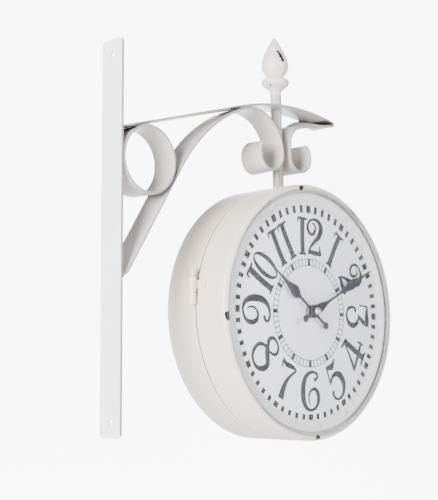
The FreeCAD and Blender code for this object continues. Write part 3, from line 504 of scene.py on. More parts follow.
# material name, tone (patch in mm, dark, light), roughness (patch in mm, low, high), bumps, extra inputs
PLAIN = {
    # zinc plated steel: grey, fine drawn lines, half bright
    "zinc": ("zinc_plated_steel", (6, "#8F9296", "#B4B6B8"), (3, 0.3, 0.45), [(0.6, 0.01)], METAL),
    # dark primer in the seam: brown grey and dull
    "primer": ("dull_dark_primer", (9, "#2B2522", "#3B332F"), (3, 0.7, 0.85), [(0.8, 0.01)]),
    # turned brass: warm, brighter where the tool left rings
    "brass": ("turned_brass", (3, "#A79C80", "#CFC4A2"), (2, 0.18, 0.3), [(0.5, 0.006)], METAL),
    # nickel plate on the small domed nut: bright and nearly white
    "nickel": ("bright_nickel_plate", (2, "#D9D6CC", "#F0EEE8"), (2, 0.16, 0.24), [(0.6, 0.003)], METAL),
    # moulded silicone seal: milky grey, dusty, no gloss
    "silicone": ("moulded_grey_silicone", (6, "#A3A1A4", "#B4B2B5"), (2, 0.7, 0.85), [(0.8, 0.03)]),
    # moulded ABS: deep black with a fine spark grain
    "abs": ("moulded_black_abs", (8, "#17171A", "#202024"), (3, 0.42, 0.55), [(0.7, 0.02)], {"IOR": 1.53}),
    # shrink sleeve of a cell: smooth slate grey film
    "cell": ("shrunk_film_cell_jacket", (12, "#3C434B", "#4A525B"), (6, 0.2, 0.3), [(5, 0.02)]),
}
# the same in the colours of the panel; the tone is given as patch in mm and two factors on the colour
TINTED = {
    # printed card of the dial: matt, faint tooth, slightly uneven tone
    "dial": ("printed_dial_card", (30, 0.96, 1.0), (5, 0.5, 0.62), [(0.9, 0.008)]),
    # screen ink: grey with a faint break-up, matt
    "ink": ("screen_ink_numerals", (1.6, 0.95, 1.08), (4, 0.5, 0.65)),
    "marks": ("screen_ink_marks", (1.6, 0.95, 1.08), (4, 0.5, 0.65)),
    # stamped steel hands with dark enamel: a weak violet sheen
    "hands": ("dark_enamel_hands", (7, 0.9, 1.15), (5, 0.3, 0.42), [(2, 0.01)]),
}


def make_materials():
    """Fills in all finishes, by name."""
    reach = sizes()["reach"]
    # painted shade in the narrow creases: arm root, ring on brace, brace on arm, folded nose
    FINISH["bracket"] = enamel("sprayed_white_enamel_strip", tint("bracket"), lines=[
        (4, 98.5, 3.4), (5, 101.2, 2.6), (9, 102.0, 2.2), (13.5, 103.2, 1.9), (17, 104.2, 1.4),
        (149, 144.0, 1.9), (153, 145.3, 1.8), (157, 146.4, 1.6), (161, 147.5, 1.3),
        (312.5, 153.4, 2.0), (309, 153.8, 2.3), (305.5, 154.4, 2.1), (302, 155.2, 1.5)],
        grey_edge=(14.75, "#8E8985"))
    # cut edges greyed on both, darker on the bar
    FINISH["bar"] = enamel("sprayed_white_enamel_bar", tint("bar"), grey_edge=(14.6, "#4C4846"))
    # rod: a lighter copy of the strip enamel, with painted shade that deepens towards its foot under the arm
    FINISH["rod"] = enamel("sprayed_white_enamel_rod", shade(tint("bracket"), 1.05), low_shade=(85, 172))
    FINISH["finial"] = enamel("sprayed_white_enamel_finial", tint("case"), [
        (reach - 7.0, -4.4, 225.6, 2.1), (reach - 6.8, -6.4, 222.4, 2.7), (reach - 6.4, -8.3, 219.4, 2.9),
        (reach - 5.7, -10.0, 216.4, 2.9), (reach - 5.0, -11.3, 213.6, 2.5), (reach - 5.4, -2.6, 229.6, 1.2),
        (reach - 13.2, -1.6, 185.6, 1.5)])
    chips = [polar(-8.9, 130.8, 42.2) + (3.0,), polar(-7.9, 131.4, 42.0) + (2.2,),
             polar(-93.6, 131.2, 42.0) + (3.2,), polar(-94.8, 131.0, 42.0) + (2.9,),
             polar(179.4, 131.0, 42.2) + (2.7,), polar(178.2, 131.4, 42.0) + (2.2,),
             polar(-32.4, 128.8, 42.5) + (1.6,), polar(-34.2, 128.6, 42.5) + (1.2,),
             polar(31.4, 130.2, 42.5) + (1.9,), polar(29.4, 130.6, 42.5) + (1.6,)]
    s = sizes()
    for z, radius in ((-26, 1.1), (-29, 1.3), (-32, 1.4), (-35, 1.4), (-38, 1.3), (-50, 1.5)):
        chips.append(polar(math.degrees(math.asin((z - s["case_z"]) / s["case_radius"])) - 90,
                           s["case_radius"], 1.6) + (radius,))
    # painted shade on the lip's inner rim, beside the glass
    FINISH["case"] = enamel("sprayed_white_enamel_case", tint("case"), chips, lip_shade=(129.0, 131.2, 0.85))

    for key, (name, *rest) in PLAIN.items():
        FINISH[key] = plain_material(name, *rest)
    for key, (name, (size_mm, dark, light), *rest) in TINTED.items():
        mottle = (size_mm, shade(tint(key), dark), shade(tint(key), light))
        FINISH[key] = plain_material(name, mottle, *rest)

    # inner step ring: pale painted board, a little shiny, with four smudges
    material, tree, place, tone = start_material("painted_step_ring", 14, "#D9D8DA", "#E6E5E6")
    smudges = [polar(angle, 120.5, 38.0) + (radius,)
               for angle, radius in ((30.6, 2.6), (152, 2.2), (173.5, 1.6), (-26, 2.0))]
    tone = spotted(tree, place, tone, smudges, 1.7, 0.0, 0.55, "#6E6C72")
    FINISH["reveal"] = finish_material(material, place, tone, (9, 0.3, 0.42), [(3, 0.01)])
    # clear cover: lets light through and gathers sheen only where it is seen at a slant
    material, tree, place, tone = start_material("clear_cover_glass", 40, "#EEF0F2", "#F8F9FA")
    slant = add_node(tree, "ShaderNodeLayerWeight", {"Blend": 0.5}).outputs["Facing"]
    veil = ranged(tree, number(tree, "POWER", slant, 3.6), 0, 1, 0.012, 0.75)
    FINISH["glass"] = finish_material(material, place, tone, (30, 0.03, 0.06), (),
                                      {"IOR": 1.45, "Transmission Weight": 1.0, "Alpha": veil})


# ------------------------------------------------------------------ bracket
BAR_FACE, WELD_GAP = 2.5, 0.25
ARM_FOOT, ARM_RISE, ARM_STRAIGHT, ARM_ARCH = 102.8, math.radians(16.1), 169, 309
BRACE_SLOPE = math.radians(57.5)


def add_bracket(name, surfaces, finish, node, crease=35):
    """Piece of the bracket, which stands still and is painted."""
    add_piece(name, surfaces, finish, "frame", [node], crease)


def bar_surface(length_mm, width, thick, corner, hole_z, hole_radius):
    """Flat bar with two holes: each end is a fan of rays from its hole out to the bar's outline.

    A ray's point is hole centre plus (hole radius to outline distance) along the ray, the outline
    being the end rectangle with its two outer corners rounded; the middle run is a plain grid.
    Both faces and every wall are then one closed loop through the thickness.
    """
    w, half = width / 2, length_mm / 2
    join, edge, bevel = hole_z - 20, 0.35, 0.3
    outline = soft_corners([(-w, join, 0), (w, join, 0), (w, half, corner), (-w, half, corner)], 9)
    middle = np.array([0, hole_z])
    rays = resampled(outline, 2.0) - middle
    out = np.linalg.norm(rays, axis=1, keepdims=True)
    rims = [(middle + rays * (1 - shrink / out), depth) for shrink, depth in
            ((edge, 0.0), (0.0, edge), (0.0, thick - edge), (edge, thick))]
    holes = [(middle + rays / out * (hole_radius + grow), depth) for grow, depth in
             ((bevel, thick), (0.0, thick - bevel), (0.0, bevel), (bevel, 0.0))]
    ring = np.stack(layered(rims + holes))
    ends = [closed_grid(np.stack([ring[..., 2], ring[..., 0], ring[..., 1] * flip], -1),
                        wrap_u=True, wrap_v=True) for flip in (1, -1)]
    return ends + [prism(soft_box(0, -w, thick, w, edge, 2), -join, join)]


class CLOCK_OT_wall_bar(bpy.types.Operator):
    """Flat wall bar with its two screw holes"""
    bl_idname = "clock.wall_bar"
    bl_label = "Wall bar"

    def execute(self, context):
        surfaces = bar_surface(length_mm=380, width=30, thick=BAR_FACE, corner=5, hole_z=175, hole_radius=2.75)
        add_bracket("bar_of_flat_steel", surfaces, "bar", "wall_bar")
        return {"FINISHED"}


def arm_path():
    """Centre line of the top arm: straight rise, arch, folded nose, return leg, elbow, outer scroll.

    It starts a millimetre inside the bar.
    """
    s = sizes()
    droop, slope, nose, elbow = math.radians(12), math.radians(11), 1.6, 14
    start = (BAR_FACE - 1, ARM_FOOT - math.tan(ARM_RISE))
    arch_x = BAR_FACE + ARM_STRAIGHT * math.cos(ARM_RISE) + ARM_ARCH * math.sin(ARM_RISE)
    nose_x = arch_x + ARM_ARCH * math.sin(droop)
    leg_x = nose_x + nose * (math.sin(slope) - math.sin(droop))
    face_x = s["reach"] + s["rod_radius"] + WELD_GAP + s["strip_thick"] / 2
    leg = (leg_x - elbow * (1 - math.sin(slope)) - face_x) / math.cos(slope)
    return strip_path(start, ARM_RISE, [
        (ARM_STRAIGHT + 1 / math.cos(ARM_RISE),), (ARM_ARCH, 28.1, -1), (nose, 157, -1), (leg,),
        (elbow, 79, 1), (15.5,), (16.75, 235, 1)])


class CLOCK_OT_top_arm(bpy.types.Operator):
    """Top arm, one flat strip folded at its nose and rolled into the outer scroll"""
    bl_idname = "clock.top_arm"
    bl_label = "Top arm"

    def execute(self, context):
        s = sizes()
        path = arm_path()
        points = carried(path, strip_section())
        x, y, z = points[..., 0], points[..., 1], points[..., 2]
        far = y / s["strip_width"] + 0.5
        past_nose = run_along(path) - ARM_STRAIGHT - 151.6  # the last number is the length of the arch
        # hand bending: the return leg rolls about its own run, so that its far edge sits higher,
        # and the scroll's near edge stands a little nearer to the wall
        leg = eased((past_nose - 3) / 12) * (1 - eased((past_nose - 58) / 45))
        z += leg * far * np.interp(x, [262, 280, 290, 300, 308, 315], [3.4, 9.2, 10.2, 6.6, 2.4, 0])
        scroll = eased((past_nose - 60) / 30)
        x -= scroll * (3.0 - 1.2 * far)
        z -= scroll * (3.2 - 0.4 * far)
        x[:] = np.maximum(x, BAR_FACE)
        add_bracket("arm_bent_strip", [closed_grid(points, wrap_v=True)], "bracket", "top_arm")
        return {"FINISHED"}


def brace_path():
    """Centre line of the brace: straight foot, two bends, crown under the arm, inner scroll."""
    s = sizes()
    bend_end, bend, ease, crown = math.radians(25), 190, 90, 44.8
    arch_x = BAR_FACE + ARM_STRAIGHT * math.cos(ARM_RISE) + ARM_ARCH * math.sin(ARM_RISE)
    arch_z = ARM_FOOT + ARM_STRAIGHT * math.sin(ARM_RISE) - ARM_ARCH * math.cos(ARM_RISE)
    under = ARM_ARCH - s["strip_thick"] - WELD_GAP
    face_x = s["reach"] - s["rod_radius"] - WELD_GAP - s["strip_thick"] / 2
    meet_sine = (arch_x + crown - face_x) / (under - crown)
    meet = math.asin(meet_sine)
    ease_x = arch_x - under * meet_sine - ease * (math.sin(bend_end) - meet_sine)
    ease_z = arch_z + under * math.cos(meet) - ease * (math.cos(meet) - math.cos(bend_end))
    bend_x = ease_x - bend * (math.sin(BRACE_SLOPE) - math.sin(bend_end))
    bend_z = ease_z - bend * (math.cos(bend_end) - math.cos(BRACE_SLOPE))
    foot_x = BAR_FACE - 1
    foot_z = bend_z - (bend_x - foot_x) * math.tan(BRACE_SLOPE)
    return strip_path((foot_x, foot_z), BRACE_SLOPE, [
        ((bend_x - foot_x) / math.cos(BRACE_SLOPE),), (bend, 32.5, -1),
        (ease, 25 - math.degrees(meet), -1), (crown, 90 + math.degrees(meet), -1), (17.5, 247, -1)])


class CLOCK_OT_brace(bpy.types.Operator):
    """Brace, one flat strip from the bar's foot to the inner scroll"""
    bl_idname = "clock.brace"
    bl_label = "Brace"

    def execute(self, context):
        s = sizes()
        path = brace_path()
        points = carried(path, strip_section())
        x, y, z = points[..., 0], points[..., 1], points[..., 2]
        near = 0.5 - y / s["strip_width"]
        run = run_along(path)
        left = run - run[-1]
        # the scroll's end is cut askew: the near edge stops 9 mm short of the far edge
        pull = run - 9.0 * near * np.clip(left / 60 + 1, 0, 1)
        for values, line in ((x, path[:, 0]), (z, path[:, 1])):
            values += np.interp(pull, run[1:-1, 0], line) - np.r_[line[0], line, line[-1]][:, None]
        # and its far edge hangs lower
        z -= 2.4 * (1 - near) * np.clip((left + 75) / 40, 0, 1)
        x[:] = np.maximum(x, BAR_FACE)
        # foot: the strip stops short in a blunt cut, and its weld fills the corner to the bar
        rise, tall = math.tan(BRACE_SLOPE), s["strip_thick"] / math.cos(BRACE_SLOPE)
        under = path[0, 1] + (x - path[0, 0]) * rise - tall / 2
        share = np.clip((z - under) / tall, 0, 1)
        cut = path[0, 1] + (BAR_FACE - path[0, 0]) * rise - tall / 2 + 6.0 + (x - BAR_FACE) * 0.8
        z[:] = np.where(x < 25, np.maximum(z, cut + 2.6 * share), z)
        add_bracket("brace_bent_strip", [closed_grid(points, wrap_v=True)], "bracket", "brace")
        return {"FINISHED"}


class CLOCK_OT_corner_ring(bpy.types.Operator):
    """Ring of rolled strip between bar, arm and brace"""
    bl_idname = "clock.corner_ring"
    bl_label = "Corner ring"

    def execute(self, context):
        low, high = (np.array(corner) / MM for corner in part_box("corner_ring"))
        middle, radius = (low + high) / 2, (high[0] - low[0]) / 2 - 1.25
        turn = np.radians(np.arange(0, 360, 3))
        path = np.c_[middle[0] + radius * np.sin(turn), middle[2] - radius * np.cos(turn), turn]
        points = carried(path, strip_section())[1:-1]
        # rolled a little oval: flat against the bar, and 1.5 % narrower than tall
        points[..., 0] = low[0] + (points[..., 0] - low[0]) * 0.985
        ring = closed_grid(points, wrap_u=True, wrap_v=True)
        add_bracket("ring_of_rolled_strip", [ring], "bracket", "corner_ring")
        return {"FINISHED"}


class CLOCK_OT_rod(bpy.types.Operator):
    """Hanger rod and the weld round its foot"""
    bl_idname = "clock.rod"
    bl_label = "Hanger rod"

    def execute(self, context):
        s = sizes()
        low, high = (corner[2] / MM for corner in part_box("hanger_rod"))
        seat = s["case_z"] + s["case_radius"] - 0.1
        profile = soft_corners([(0, low), (4, low, 0.5), (4, seat), (6, seat, 0.1), (6, high, 0.5),
                                (0, high)], 3)
        add_bracket("hanger_rod_round_bar", [on_rod(profile, 64)], "rod", "hanger_rod")
        # weld: the height falls from 4.3 mm at the rod to nothing at the drum, along a hollow curve,
        # and the foot follows the drum's own curve
        share = np.linspace(0, 1, 14)
        turn = np.linspace(0, 2 * math.pi, 72, endpoint=False)[:, None]
        radius = s["rod_radius"] - 0.1 + share * (2.7 + 0.25 * np.sin(3 * turn + 1))
        height = 4.3 * (1 - share) ** 2.2 + 0 * turn
        x, y = radius * np.cos(turn), radius * np.sin(turn)
        drum = s["case_z"] + np.sqrt(s["case_radius"] ** 2 - x ** 2)
        top = np.stack([s["reach"] + x, y, drum + height + 0.02], -1)
        sunk = np.stack([s["reach"] + x, y, drum - 0.4], -1)[:, ::-1]
        weld = closed_grid(np.concatenate([top, sunk], 1), wrap_u=True, wrap_v=True)
        add_bracket("rod_foot_weld", [weld], "bracket", "rod_flare")
        return {"FINISHED"}


class CLOCK_OT_finial(bpy.types.Operator):
    """Turned spear finial over its round collar"""
    bl_idname = "clock.finial"
    bl_label = "Finial"

    def execute(self, context):
        low, high = (corner[2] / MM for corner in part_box("finial"))
        height = [0, 4.1, 5.6, 7.7, 10.0, 12.2, 14.0, 15.8, 17.2, 18.3, 19.3, 20.3, 21.2, 22.3, 24.8,
                  28.4, 32.9, 38.2, 44.5, 49.9, 55.3, 60.7, 64.0, 65.3, 65.8]
        radius = [6.15, 6.2, 7.0, 9.2, 12.4, 14.5, 15.0, 15.0, 14.6, 13.2, 11.4, 10.0, 9.5, 9.8, 11.9,
                  13.9, 14.9, 14.4, 12.4, 9.9, 7.2, 4.3, 2.5, 1.6, 0.0]
        fine = np.linspace(0, 1, 120)
        z = smooth_through(height, fine) * (high - low) / height[-1]
        r = np.clip(smooth_through(radius, fine), 0, None)
        r[-1] = 0
        profile = np.r_[[[0, 1.0], [6.0, 1.0]], np.c_[r, z]] + np.array([0, low])
        add_bracket("finial_turned_spear", [on_rod(profile, 96)], "finial", "finial", crease=50)
        return {"FINISHED"}


# ------------------------------------------------------------------ drum
class CLOCK_OT_shells(bpy.types.Operator):
    """The two drum shells with their rolled lips"""
    bl_idname = "clock.shells"
    bl_label = "Drum shells"

    def execute(self, context):
        s = sizes()
        R, half, wall, lip = s["case_radius"], s["case_half"], 1.5, 5.0
        for side, seam in (("front", 2.35), ("rear", -0.7)):
            outer = arc_points((R - lip, half - lip), lip, 0, 90, 14)
            inner = arc_points((R - lip, half - lip), lip - wall, 90, 0, 10)
            edge = soft_corners([(R, seam, 0.45), (R, 20), (R - wall, 20), (R - wall, seam, 0.3)], 4)
            start, stop = edge[:4], edge[-4:]
            profile = np.vstack([start, np.linspace([R, seam + 4], [R, half - lip - 2], 5), outer,
                                 soft_corners([(R - lip, half), (R - 6.6, half, 0.7),
                                               (R - 6.6, half - wall, 0.4), (R - lip, half - wall)], 4)[1:-1],
                                 inner, np.linspace([R - wall, half - lip - 2], [R - wall, seam + 4], 4), stop])
            add_piece(side + "_shell_spun_steel", [turned(profile, side, 256)], "case", HOUSING[side],
                      [side + "_shell"])
        return {"FINISHED"}


def pin_tube(x, y, bottom, top, radius, bore=0.0):
    """Upright round piece with eased ends, hollow when it has a bore."""
    profile = soft_corners([(bore, bottom, 0.15 if bore else 0), (radius, bottom, 0.4), (radius, top, 0.4),
                            (bore, top, 0.15 if bore else 0)], 4)
    return closed_grid(lathe(profile, 48) + np.array([x, y, 0]), wrap_u=True, wrap_v=bore > 0)


def bent_leaf(y_low, y_high, z_low, z_high, lift=0.03, thick=1.6):
    """Hinge leaf that lies on the drum: its face is the drum's radius plus a thickness.

    The outline is a rectangle in y and z with rounded corners, filled by loops that shrink to its
    middle; x at each point follows from the drum's circle.
    """
    s = sizes()
    outline = resampled(soft_box(y_low, z_low, y_high, z_high, 1.2), 1.5)
    middle = outline.mean(0)
    layers = [(0.0, lift), (0.5, lift), (1.0, lift), (1.0, thick - 0.3), (0.985, thick), (0.5, thick),
              (0.0, thick)]
    rows = []
    for size, height in layers:
        flat = middle + (outline - middle) * size
        rise = np.clip(flat[:, 1] - s["case_z"], -130, 130)
        radius = s["case_radius"] + height
        rows.append(np.c_[s["reach"] - np.sqrt(radius ** 2 - rise ** 2), flat])
    return closed_grid(np.stack(rows), wrap_v=True)


def web_block(x, y, z):
    """Small block with eased edges between two limits on each axis."""
    return prism(soft_box(x[0], y[0], x[1], y[1], 0.3, 3), *z)


class CLOCK_OT_hinge(bpy.types.Operator):
    """Lift-off hinge: two knuckles, two bent leaves and the pin"""
    bl_idname = "clock.hinge"
    bl_label = "Hinge"

    def execute(self, context):
        x, y, split = 97.8, -9.0, -49.8
        front = [pin_tube(x, y, split + 0.2, split + 15.2, 3.8, 1.75),
                 bent_leaf(y - 13.5, y - 0.4, split + 4, split + 12.5),
                 web_block((x + 2.4, 105), (y - 3.8, y - 0.4), (split + 4.3, split + 12.2))]
        add_piece("hinge_front_knuckle_and_leaf", front, "case", "door", ["hinge_front"])
        rear = [pin_tube(x, y, split - 11.6, split - 0.2, 3.8, 1.75),
                bent_leaf(y + 4.2, y + 22, split - 11.4, split + 19),
                web_block((x + 2.4, 105), (y + 0.4, y + 5.8), (split - 11.2, split - 0.4))]
        add_piece("hinge_rear_knuckle_and_leaf", rear, "case", "frame", ["hinge_rear"])
        pin = [pin_tube(x, y, split - 12.4, split + 25.5, 1.7)]
        add_piece("hinge_pin_round_wire", pin, "case", "frame", ["hinge_pin"])
        return {"FINISHED"}


class CLOCK_OT_covers(bpy.types.Operator):
    """Moulded glass covers and the stepped rings behind them"""
    bl_idname = "clock.covers"
    bl_label = "Glass covers"

    def execute(self, context):
        neck, top, round_out, dome = 128.05, 50.4, 7.5, 3.0
        shoulder = neck - round_out
        for side, body in HOUSING.items():
            r = np.linspace(shoulder, 0, 24)[:, None]
            dome_out = np.hstack([r, top + dome * (1 - (r / shoulder) ** 2)])
            dome_in = dome_out[::-1] - np.array([0, 2.0])
            profile = np.vstack([
                [[neck - 2, 36.8], [133.1, 36.8], [133.1, 38.8], [neck, 38.8]],
                arc_points((shoulder, top - round_out), round_out, 0, 90, 18), dome_out[1:],
                dome_in[:-1], arc_points((shoulder, top - round_out), round_out - 2, 90, 0, 14)])
            add_piece(side + "_cover_moulded_glass", [turned(profile, side)], "glass", body,
                      [side + "_glass"])
            ring = soft_corners([(113.5, 35.6), (133.1, 35.55), (133.1, 36.75), (125.6, 36.75, 0.2),
                                 (125.6, 39.2, 0.4), (119.3, 37.4, 0.5), (118.5, 36.3, 0.5)], 4)
            add_piece(side + "_step_ring_painted", [turned(ring, side)], "reveal", body,
                      [side + "_reveal_ring"])
        return {"FINISHED"}


# ------------------------------------------------------------------ dial print
def ribbon(points, thick=0.05, steps=9, swell=1.22, bleed=0.75):
    """Pen stroke: a curve through (x, y, width) points with a thin flat section square to it."""
    control = np.array(points, float)
    control[:, 2] = control[:, 2] * swell + bleed
    curve = control
    if len(control) > 2:
        curve = smooth_through(control, np.linspace(0, 1, (len(control) - 1) * steps + 1))
    run = np.gradient(curve[:, :2], axis=0)
    run /= np.linalg.norm(run, axis=1, keepdims=True)
    side = np.c_[-run[:, 1], run[:, 0]] * np.clip(curve[:, 2:3], 0.05, None) / 2
    left, right = curve[:, :2] + side, curve[:, :2] - side
    return capped(np.stack(layered([(left, thick), (right, thick), (right, 0.0), (left, 0.0)]), 1))


def dot(x, y, radius, thick=0.05):
    """Round end of a stroke: a thin disc."""
    turn = np.linspace(0, 2 * math.pi, 24, endpoint=False)
    rim = np.c_[x + radius * np.cos(turn), y + radius * np.sin(turn)]
    centre = 0 * rim + np.array([x, y])
    return np.stack(layered([(centre, thick), (rim, thick), (rim, 0.0), (centre, 0.0)]))


ONE = [ribbon([(0.3, 17, 5.0), (-0.3, 0, 5.0), (0.3, -19.5, 5.0)]),
       ribbon([(-7.4, 13.2, 0.9), (-6.8, 17.2, 1.5), (-5.2, 18.2, 1.9), (0, 17.6, 2.2), (6.6, 17.9, 1.4),
               (7.6, 18.6, 0.8)]),
       ribbon([(-5.4, -20.8, 0.9), (-3, -19.6, 1.8), (0, -19.4, 2.2), (3, -19.6, 1.8), (5.4, -20.8, 0.9)])]
TWO = [ribbon([(-4.6, 13.6, 0.5), (-0.4, 13.0, 1.2), (1.6, 8.5, 1.9), (-1.6, 2.6, 2.4), (-7.0, 2.4, 2.3),
               (-11.2, 8.2, 2.4), (-8.8, 15.0, 1.8), (-1.6, 18.2, 1.7), (7.2, 15.8, 3.6),
               (10.6, 8.2, 5.2), (7.0, 0.2, 4.6), (0.0, -5.6, 3.2), (-6.6, -11.8, 2.0),
               (-10.8, -18.8, 1.3)]),
       ribbon([(-11.4, -19.2, 0.8), (-7.0, -17.2, 3.2), (-1.0, -18.0, 3.6), (5.0, -18.4, 3.4),
               (9.4, -19.4, 2.2), (10.2, -20.4, 0.8)]),
       ribbon([(8.2, -9.2, 0.6), (8.4, -13.8, 1.4), (8.8, -19.6, 3.4)])]
THREE = [ribbon([(-11.5, 2.0, 0.7), (-11.0, 9.0, 1.0), (-10.2, 17.5, 1.4)]),
         ribbon([(-10.6, 17.6, 0.8), (-5.0, 15.8, 3.6), (1.0, 15.8, 5.0), (7.0, 16.4, 4.6),
                 (11.8, 18.4, 1.2)]),
         ribbon([(11.6, 18.0, 1.4), (8.4, 11.6, 3.6), (4.4, 5.6, 3.8), (0.6, 0.4, 1.6)]),
         ribbon([(-1.6, 0.6, 1.2), (2.6, 0.9, 1.6), (8.4, -2.0, 3.4), (11.2, -9.0, 4.4),
                 (8.2, -16.4, 3.4), (0.4, -19.8, 1.7), (-6.6, -17.2, 2.2), (-9.2, -10.6, 2.2),
                 (-7.4, -4.6, 1.6), (-4.6, -3.2, 1.4)]),
         dot(-5.2, -4.4, 1.9)]
FOUR = [ribbon([(4.2, 17.4, 5.0), (4.2, 0, 4.8), (4.4, -18.6, 5.0)]),
        ribbon([(-6.0, 19.6, 0.7), (-2.0, 18.2, 1.8), (2.0, 17.4, 2.4), (6.8, 17.6, 0.8)]),
        ribbon([(3.4, 18.0, 1.0), (-3.6, 5.6, 1.7), (-9.6, -4.8, 2.6), (-14.2, -12.2, 3.6)]),
        ribbon([(-15.6, -12.8, 1.0), (-8.0, -11.2, 2.6), (4.0, -10.0, 2.4), (13.0, -8.6, 2.4),
                (16.6, -8.0, 1.4)]),
        ribbon([(14.8, -1.6, 0.7), (16.2, -7.6, 1.8), (16.8, -13.4, 0.7)]),
        ribbon([(-5.0, -19.8, 0.9), (0.0, -18.8, 2.0), (4.4, -18.6, 2.4), (8.6, -18.8, 2.0),
                (12.0, -19.8, 0.9)])]
FIVE = [ribbon([(-6.4, 19.8, 1.0), (-3.4, 17.2, 3.6), (1.6, 15.8, 5.4), (5.8, 17.4, 3.0),
                (9.6, 21.4, 0.7)]),
        ribbon([(-6.2, 19.6, 1.4), (-7.6, 9.6, 1.4), (-8.9, -0.8, 1.2)]),
        ribbon([(-8.8, -0.6, 0.7), (-4.4, 4.4, 2.2), (1.8, 6.0, 3.6), (8.0, 3.0, 5.0), (11.0, -4.4, 5.4),
                (9.8, -12.6, 4.4), (4.2, -19.0, 2.6), (-3.6, -20.6, 1.6), (-9.4, -16.6, 2.2),
                (-10.4, -10.8, 2.2), (-8.4, -8.2, 1.4)]),
        dot(-8.8, -9.4, 1.9)]
SIX = [ribbon([(5.6, 11.6, 1.4), (9.8, 12.6, 2.2), (10.8, 16.8, 2.2), (4.4, 19.8, 1.8),
               (-4.6, 17.2, 3.4), (-10.4, 9.4, 5.0), (-12.0, -2.0, 5.6), (-10.4, -12.0, 4.6),
               (-5.4, -18.4, 3.0), (1.6, -20.0, 1.8), (9.0, -16.8, 2.6), (12.8, -9.4, 3.8),
               (11.2, -1.4, 3.6), (6.0, 2.0, 2.4), (0.6, 0.2, 1.7), (-2.6, -5.0, 1.3),
               (-2.4, -10.4, 1.0), (-0.4, -14.0, 0.6)]),
       dot(7.4, 11.6, 2.2)]
SEVEN = [ribbon([(-11.8, 20.6, 0.8), (-11.2, 15.6, 1.4), (-9.8, 9.8, 0.7)]),
         ribbon([(-11.8, 19.4, 0.9), (-6.6, 16.4, 3.6), (0.0, 17.2, 3.8), (6.6, 18.4, 2.6),
                 (11.6, 17.6, 1.1)]),
         ribbon([(11.4, 17.6, 1.2), (6.2, 9.2, 2.2), (2.8, 0.4, 3.6), (2.4, -9.0, 5.2), (3.8, -18.8, 6.6)])]
EIGHT = [ribbon([(-4.6, 8.4, 3.6), (3.2, 2.6, 5.0), (12.6, -2.4, 4.4), (13.8, -9.6, 4.6),
                 (9.2, -16.8, 3.2), (2.4, -19.4, 2.0), (-5.4, -17.6, 2.4), (-10.2, -11.0, 3.0),
                 (-10.6, -2.6, 3.0), (-5.8, 3.4, 2.4)]),
         ribbon([(-6.0, 3.2, 2.4), (1.0, 5.4, 1.6), (8.0, 9.0, 1.8), (10.8, 14.0, 2.4), (7.4, 19.4, 2.2),
                 (1.0, 20.8, 1.8), (-5.4, 18.4, 2.4), (-7.2, 13.0, 3.2), (-4.6, 8.4, 3.6)])]
NINE = [stroke * np.array([-1, -1, 1]) for stroke in SIX]
turn_round = np.linspace(0, 2 * math.pi, 25)
ZERO = [ribbon(np.c_[8.0 * np.sin(turn_round), 19.2 * np.cos(turn_round),
                     0.9 + 2.7 * np.abs(np.sin(turn_round)) ** 1.5], steps=3)]


def shifted(strokes, right):
    return [stroke + np.array([right, 0, 0]) for stroke in strokes]


NUMERALS = {
    12: shifted(ONE, -10.2) + shifted(TWO, 9.6), 1: shifted(ONE, 1.6), 2: TWO, 3: THREE, 4: FOUR, 5: FIVE,
    6: SIX, 7: SEVEN, 8: shifted(EIGHT, 1.0), 9: NINE, 10: shifted(ONE, -11.0) + shifted(ZERO, 5.2),
    11: shifted(ONE, -9.6) + shifted(ONE, 7.2),
}


def around(points, angle, radius, outwards=True):
    """Flat points (right, up) carried to a place on the dial, clockwise from twelve."""
    turn = math.radians(angle)
    out, right = np.array([math.sin(turn), math.cos(turn)]), np.array([math.cos(turn), -math.sin(turn)])
    sign = 1 if outwards else -1
    flat = out * radius + sign * (points[..., :1] * right + points[..., 1:2] * out)
    return np.concatenate([flat, points[..., 2:]], -1)


def circle_band(radius, width, thick=0.05):
    """Profile of a thin printed circle."""
    inner, outer = radius - width / 2, radius + width / 2
    return np.array([[inner, 0], [inner, thick], [outer, thick], [outer, 0]])


class CLOCK_OT_dials(bpy.types.Operator):
    """Dial cards with their numerals, minute marks and inner railway track"""
    bl_idname = "clock.dials"
    bl_label = "Dials"

    def execute(self, context):
        middle = sizes()["numeral_middle"]
        face = 35.5
        # the print stands a hair off the card, and a little off the drum's axis as in the photo
        lift = np.array([-0.6, -1.2, face + 0.01])
        for side, body in HOUSING.items():
            def printed(points):
                return closed_grid(on_side(points + lift, side), wrap_v=True)

            card = soft_corners([(4, 34.5), (132, 34.5, 0.2), (132, face, 0.2), (4, face)], 3)
            add_piece(side + "_dial_card", [turned(card, side, 128)], "dial", body,
                      [side + "_dial"])
            numbers, marks = [], []
            for hour, strokes in NUMERALS.items():
                for order, stroke in enumerate(strokes):
                    # each stroke a hair thicker than the one before, so that none share a face
                    raised = stroke * np.array([1, 1, 1 + 0.2 * order])
                    numbers.append(printed(around(raised, hour * 30, middle, hour not in (4, 5, 6, 7, 8))))
            add_piece(side + "_dial_numerals", numbers, "ink", body)
            # minute marks and track bars: half length, width at an hour, width between, circle
            for minute in range(60):
                for half, at_hour, between, radius in ((4.1, 7.2, 4.8, 110.4), (3.5, 4.4, 1.0, 53.6)):
                    width = between if minute % 5 else at_hour
                    block = ribbon([(0, -half, width), (0, half, width)], swell=1, bleed=0)
                    marks.append(printed(around(block, minute * 6, radius)))
            marks += [turned(circle_band(radius, 0.8), side, 180, lift) for radius in (50.1, 57.1)]
            add_piece(side + "_dial_tracks", marks, "marks", body)
        return {"FINISHED"}


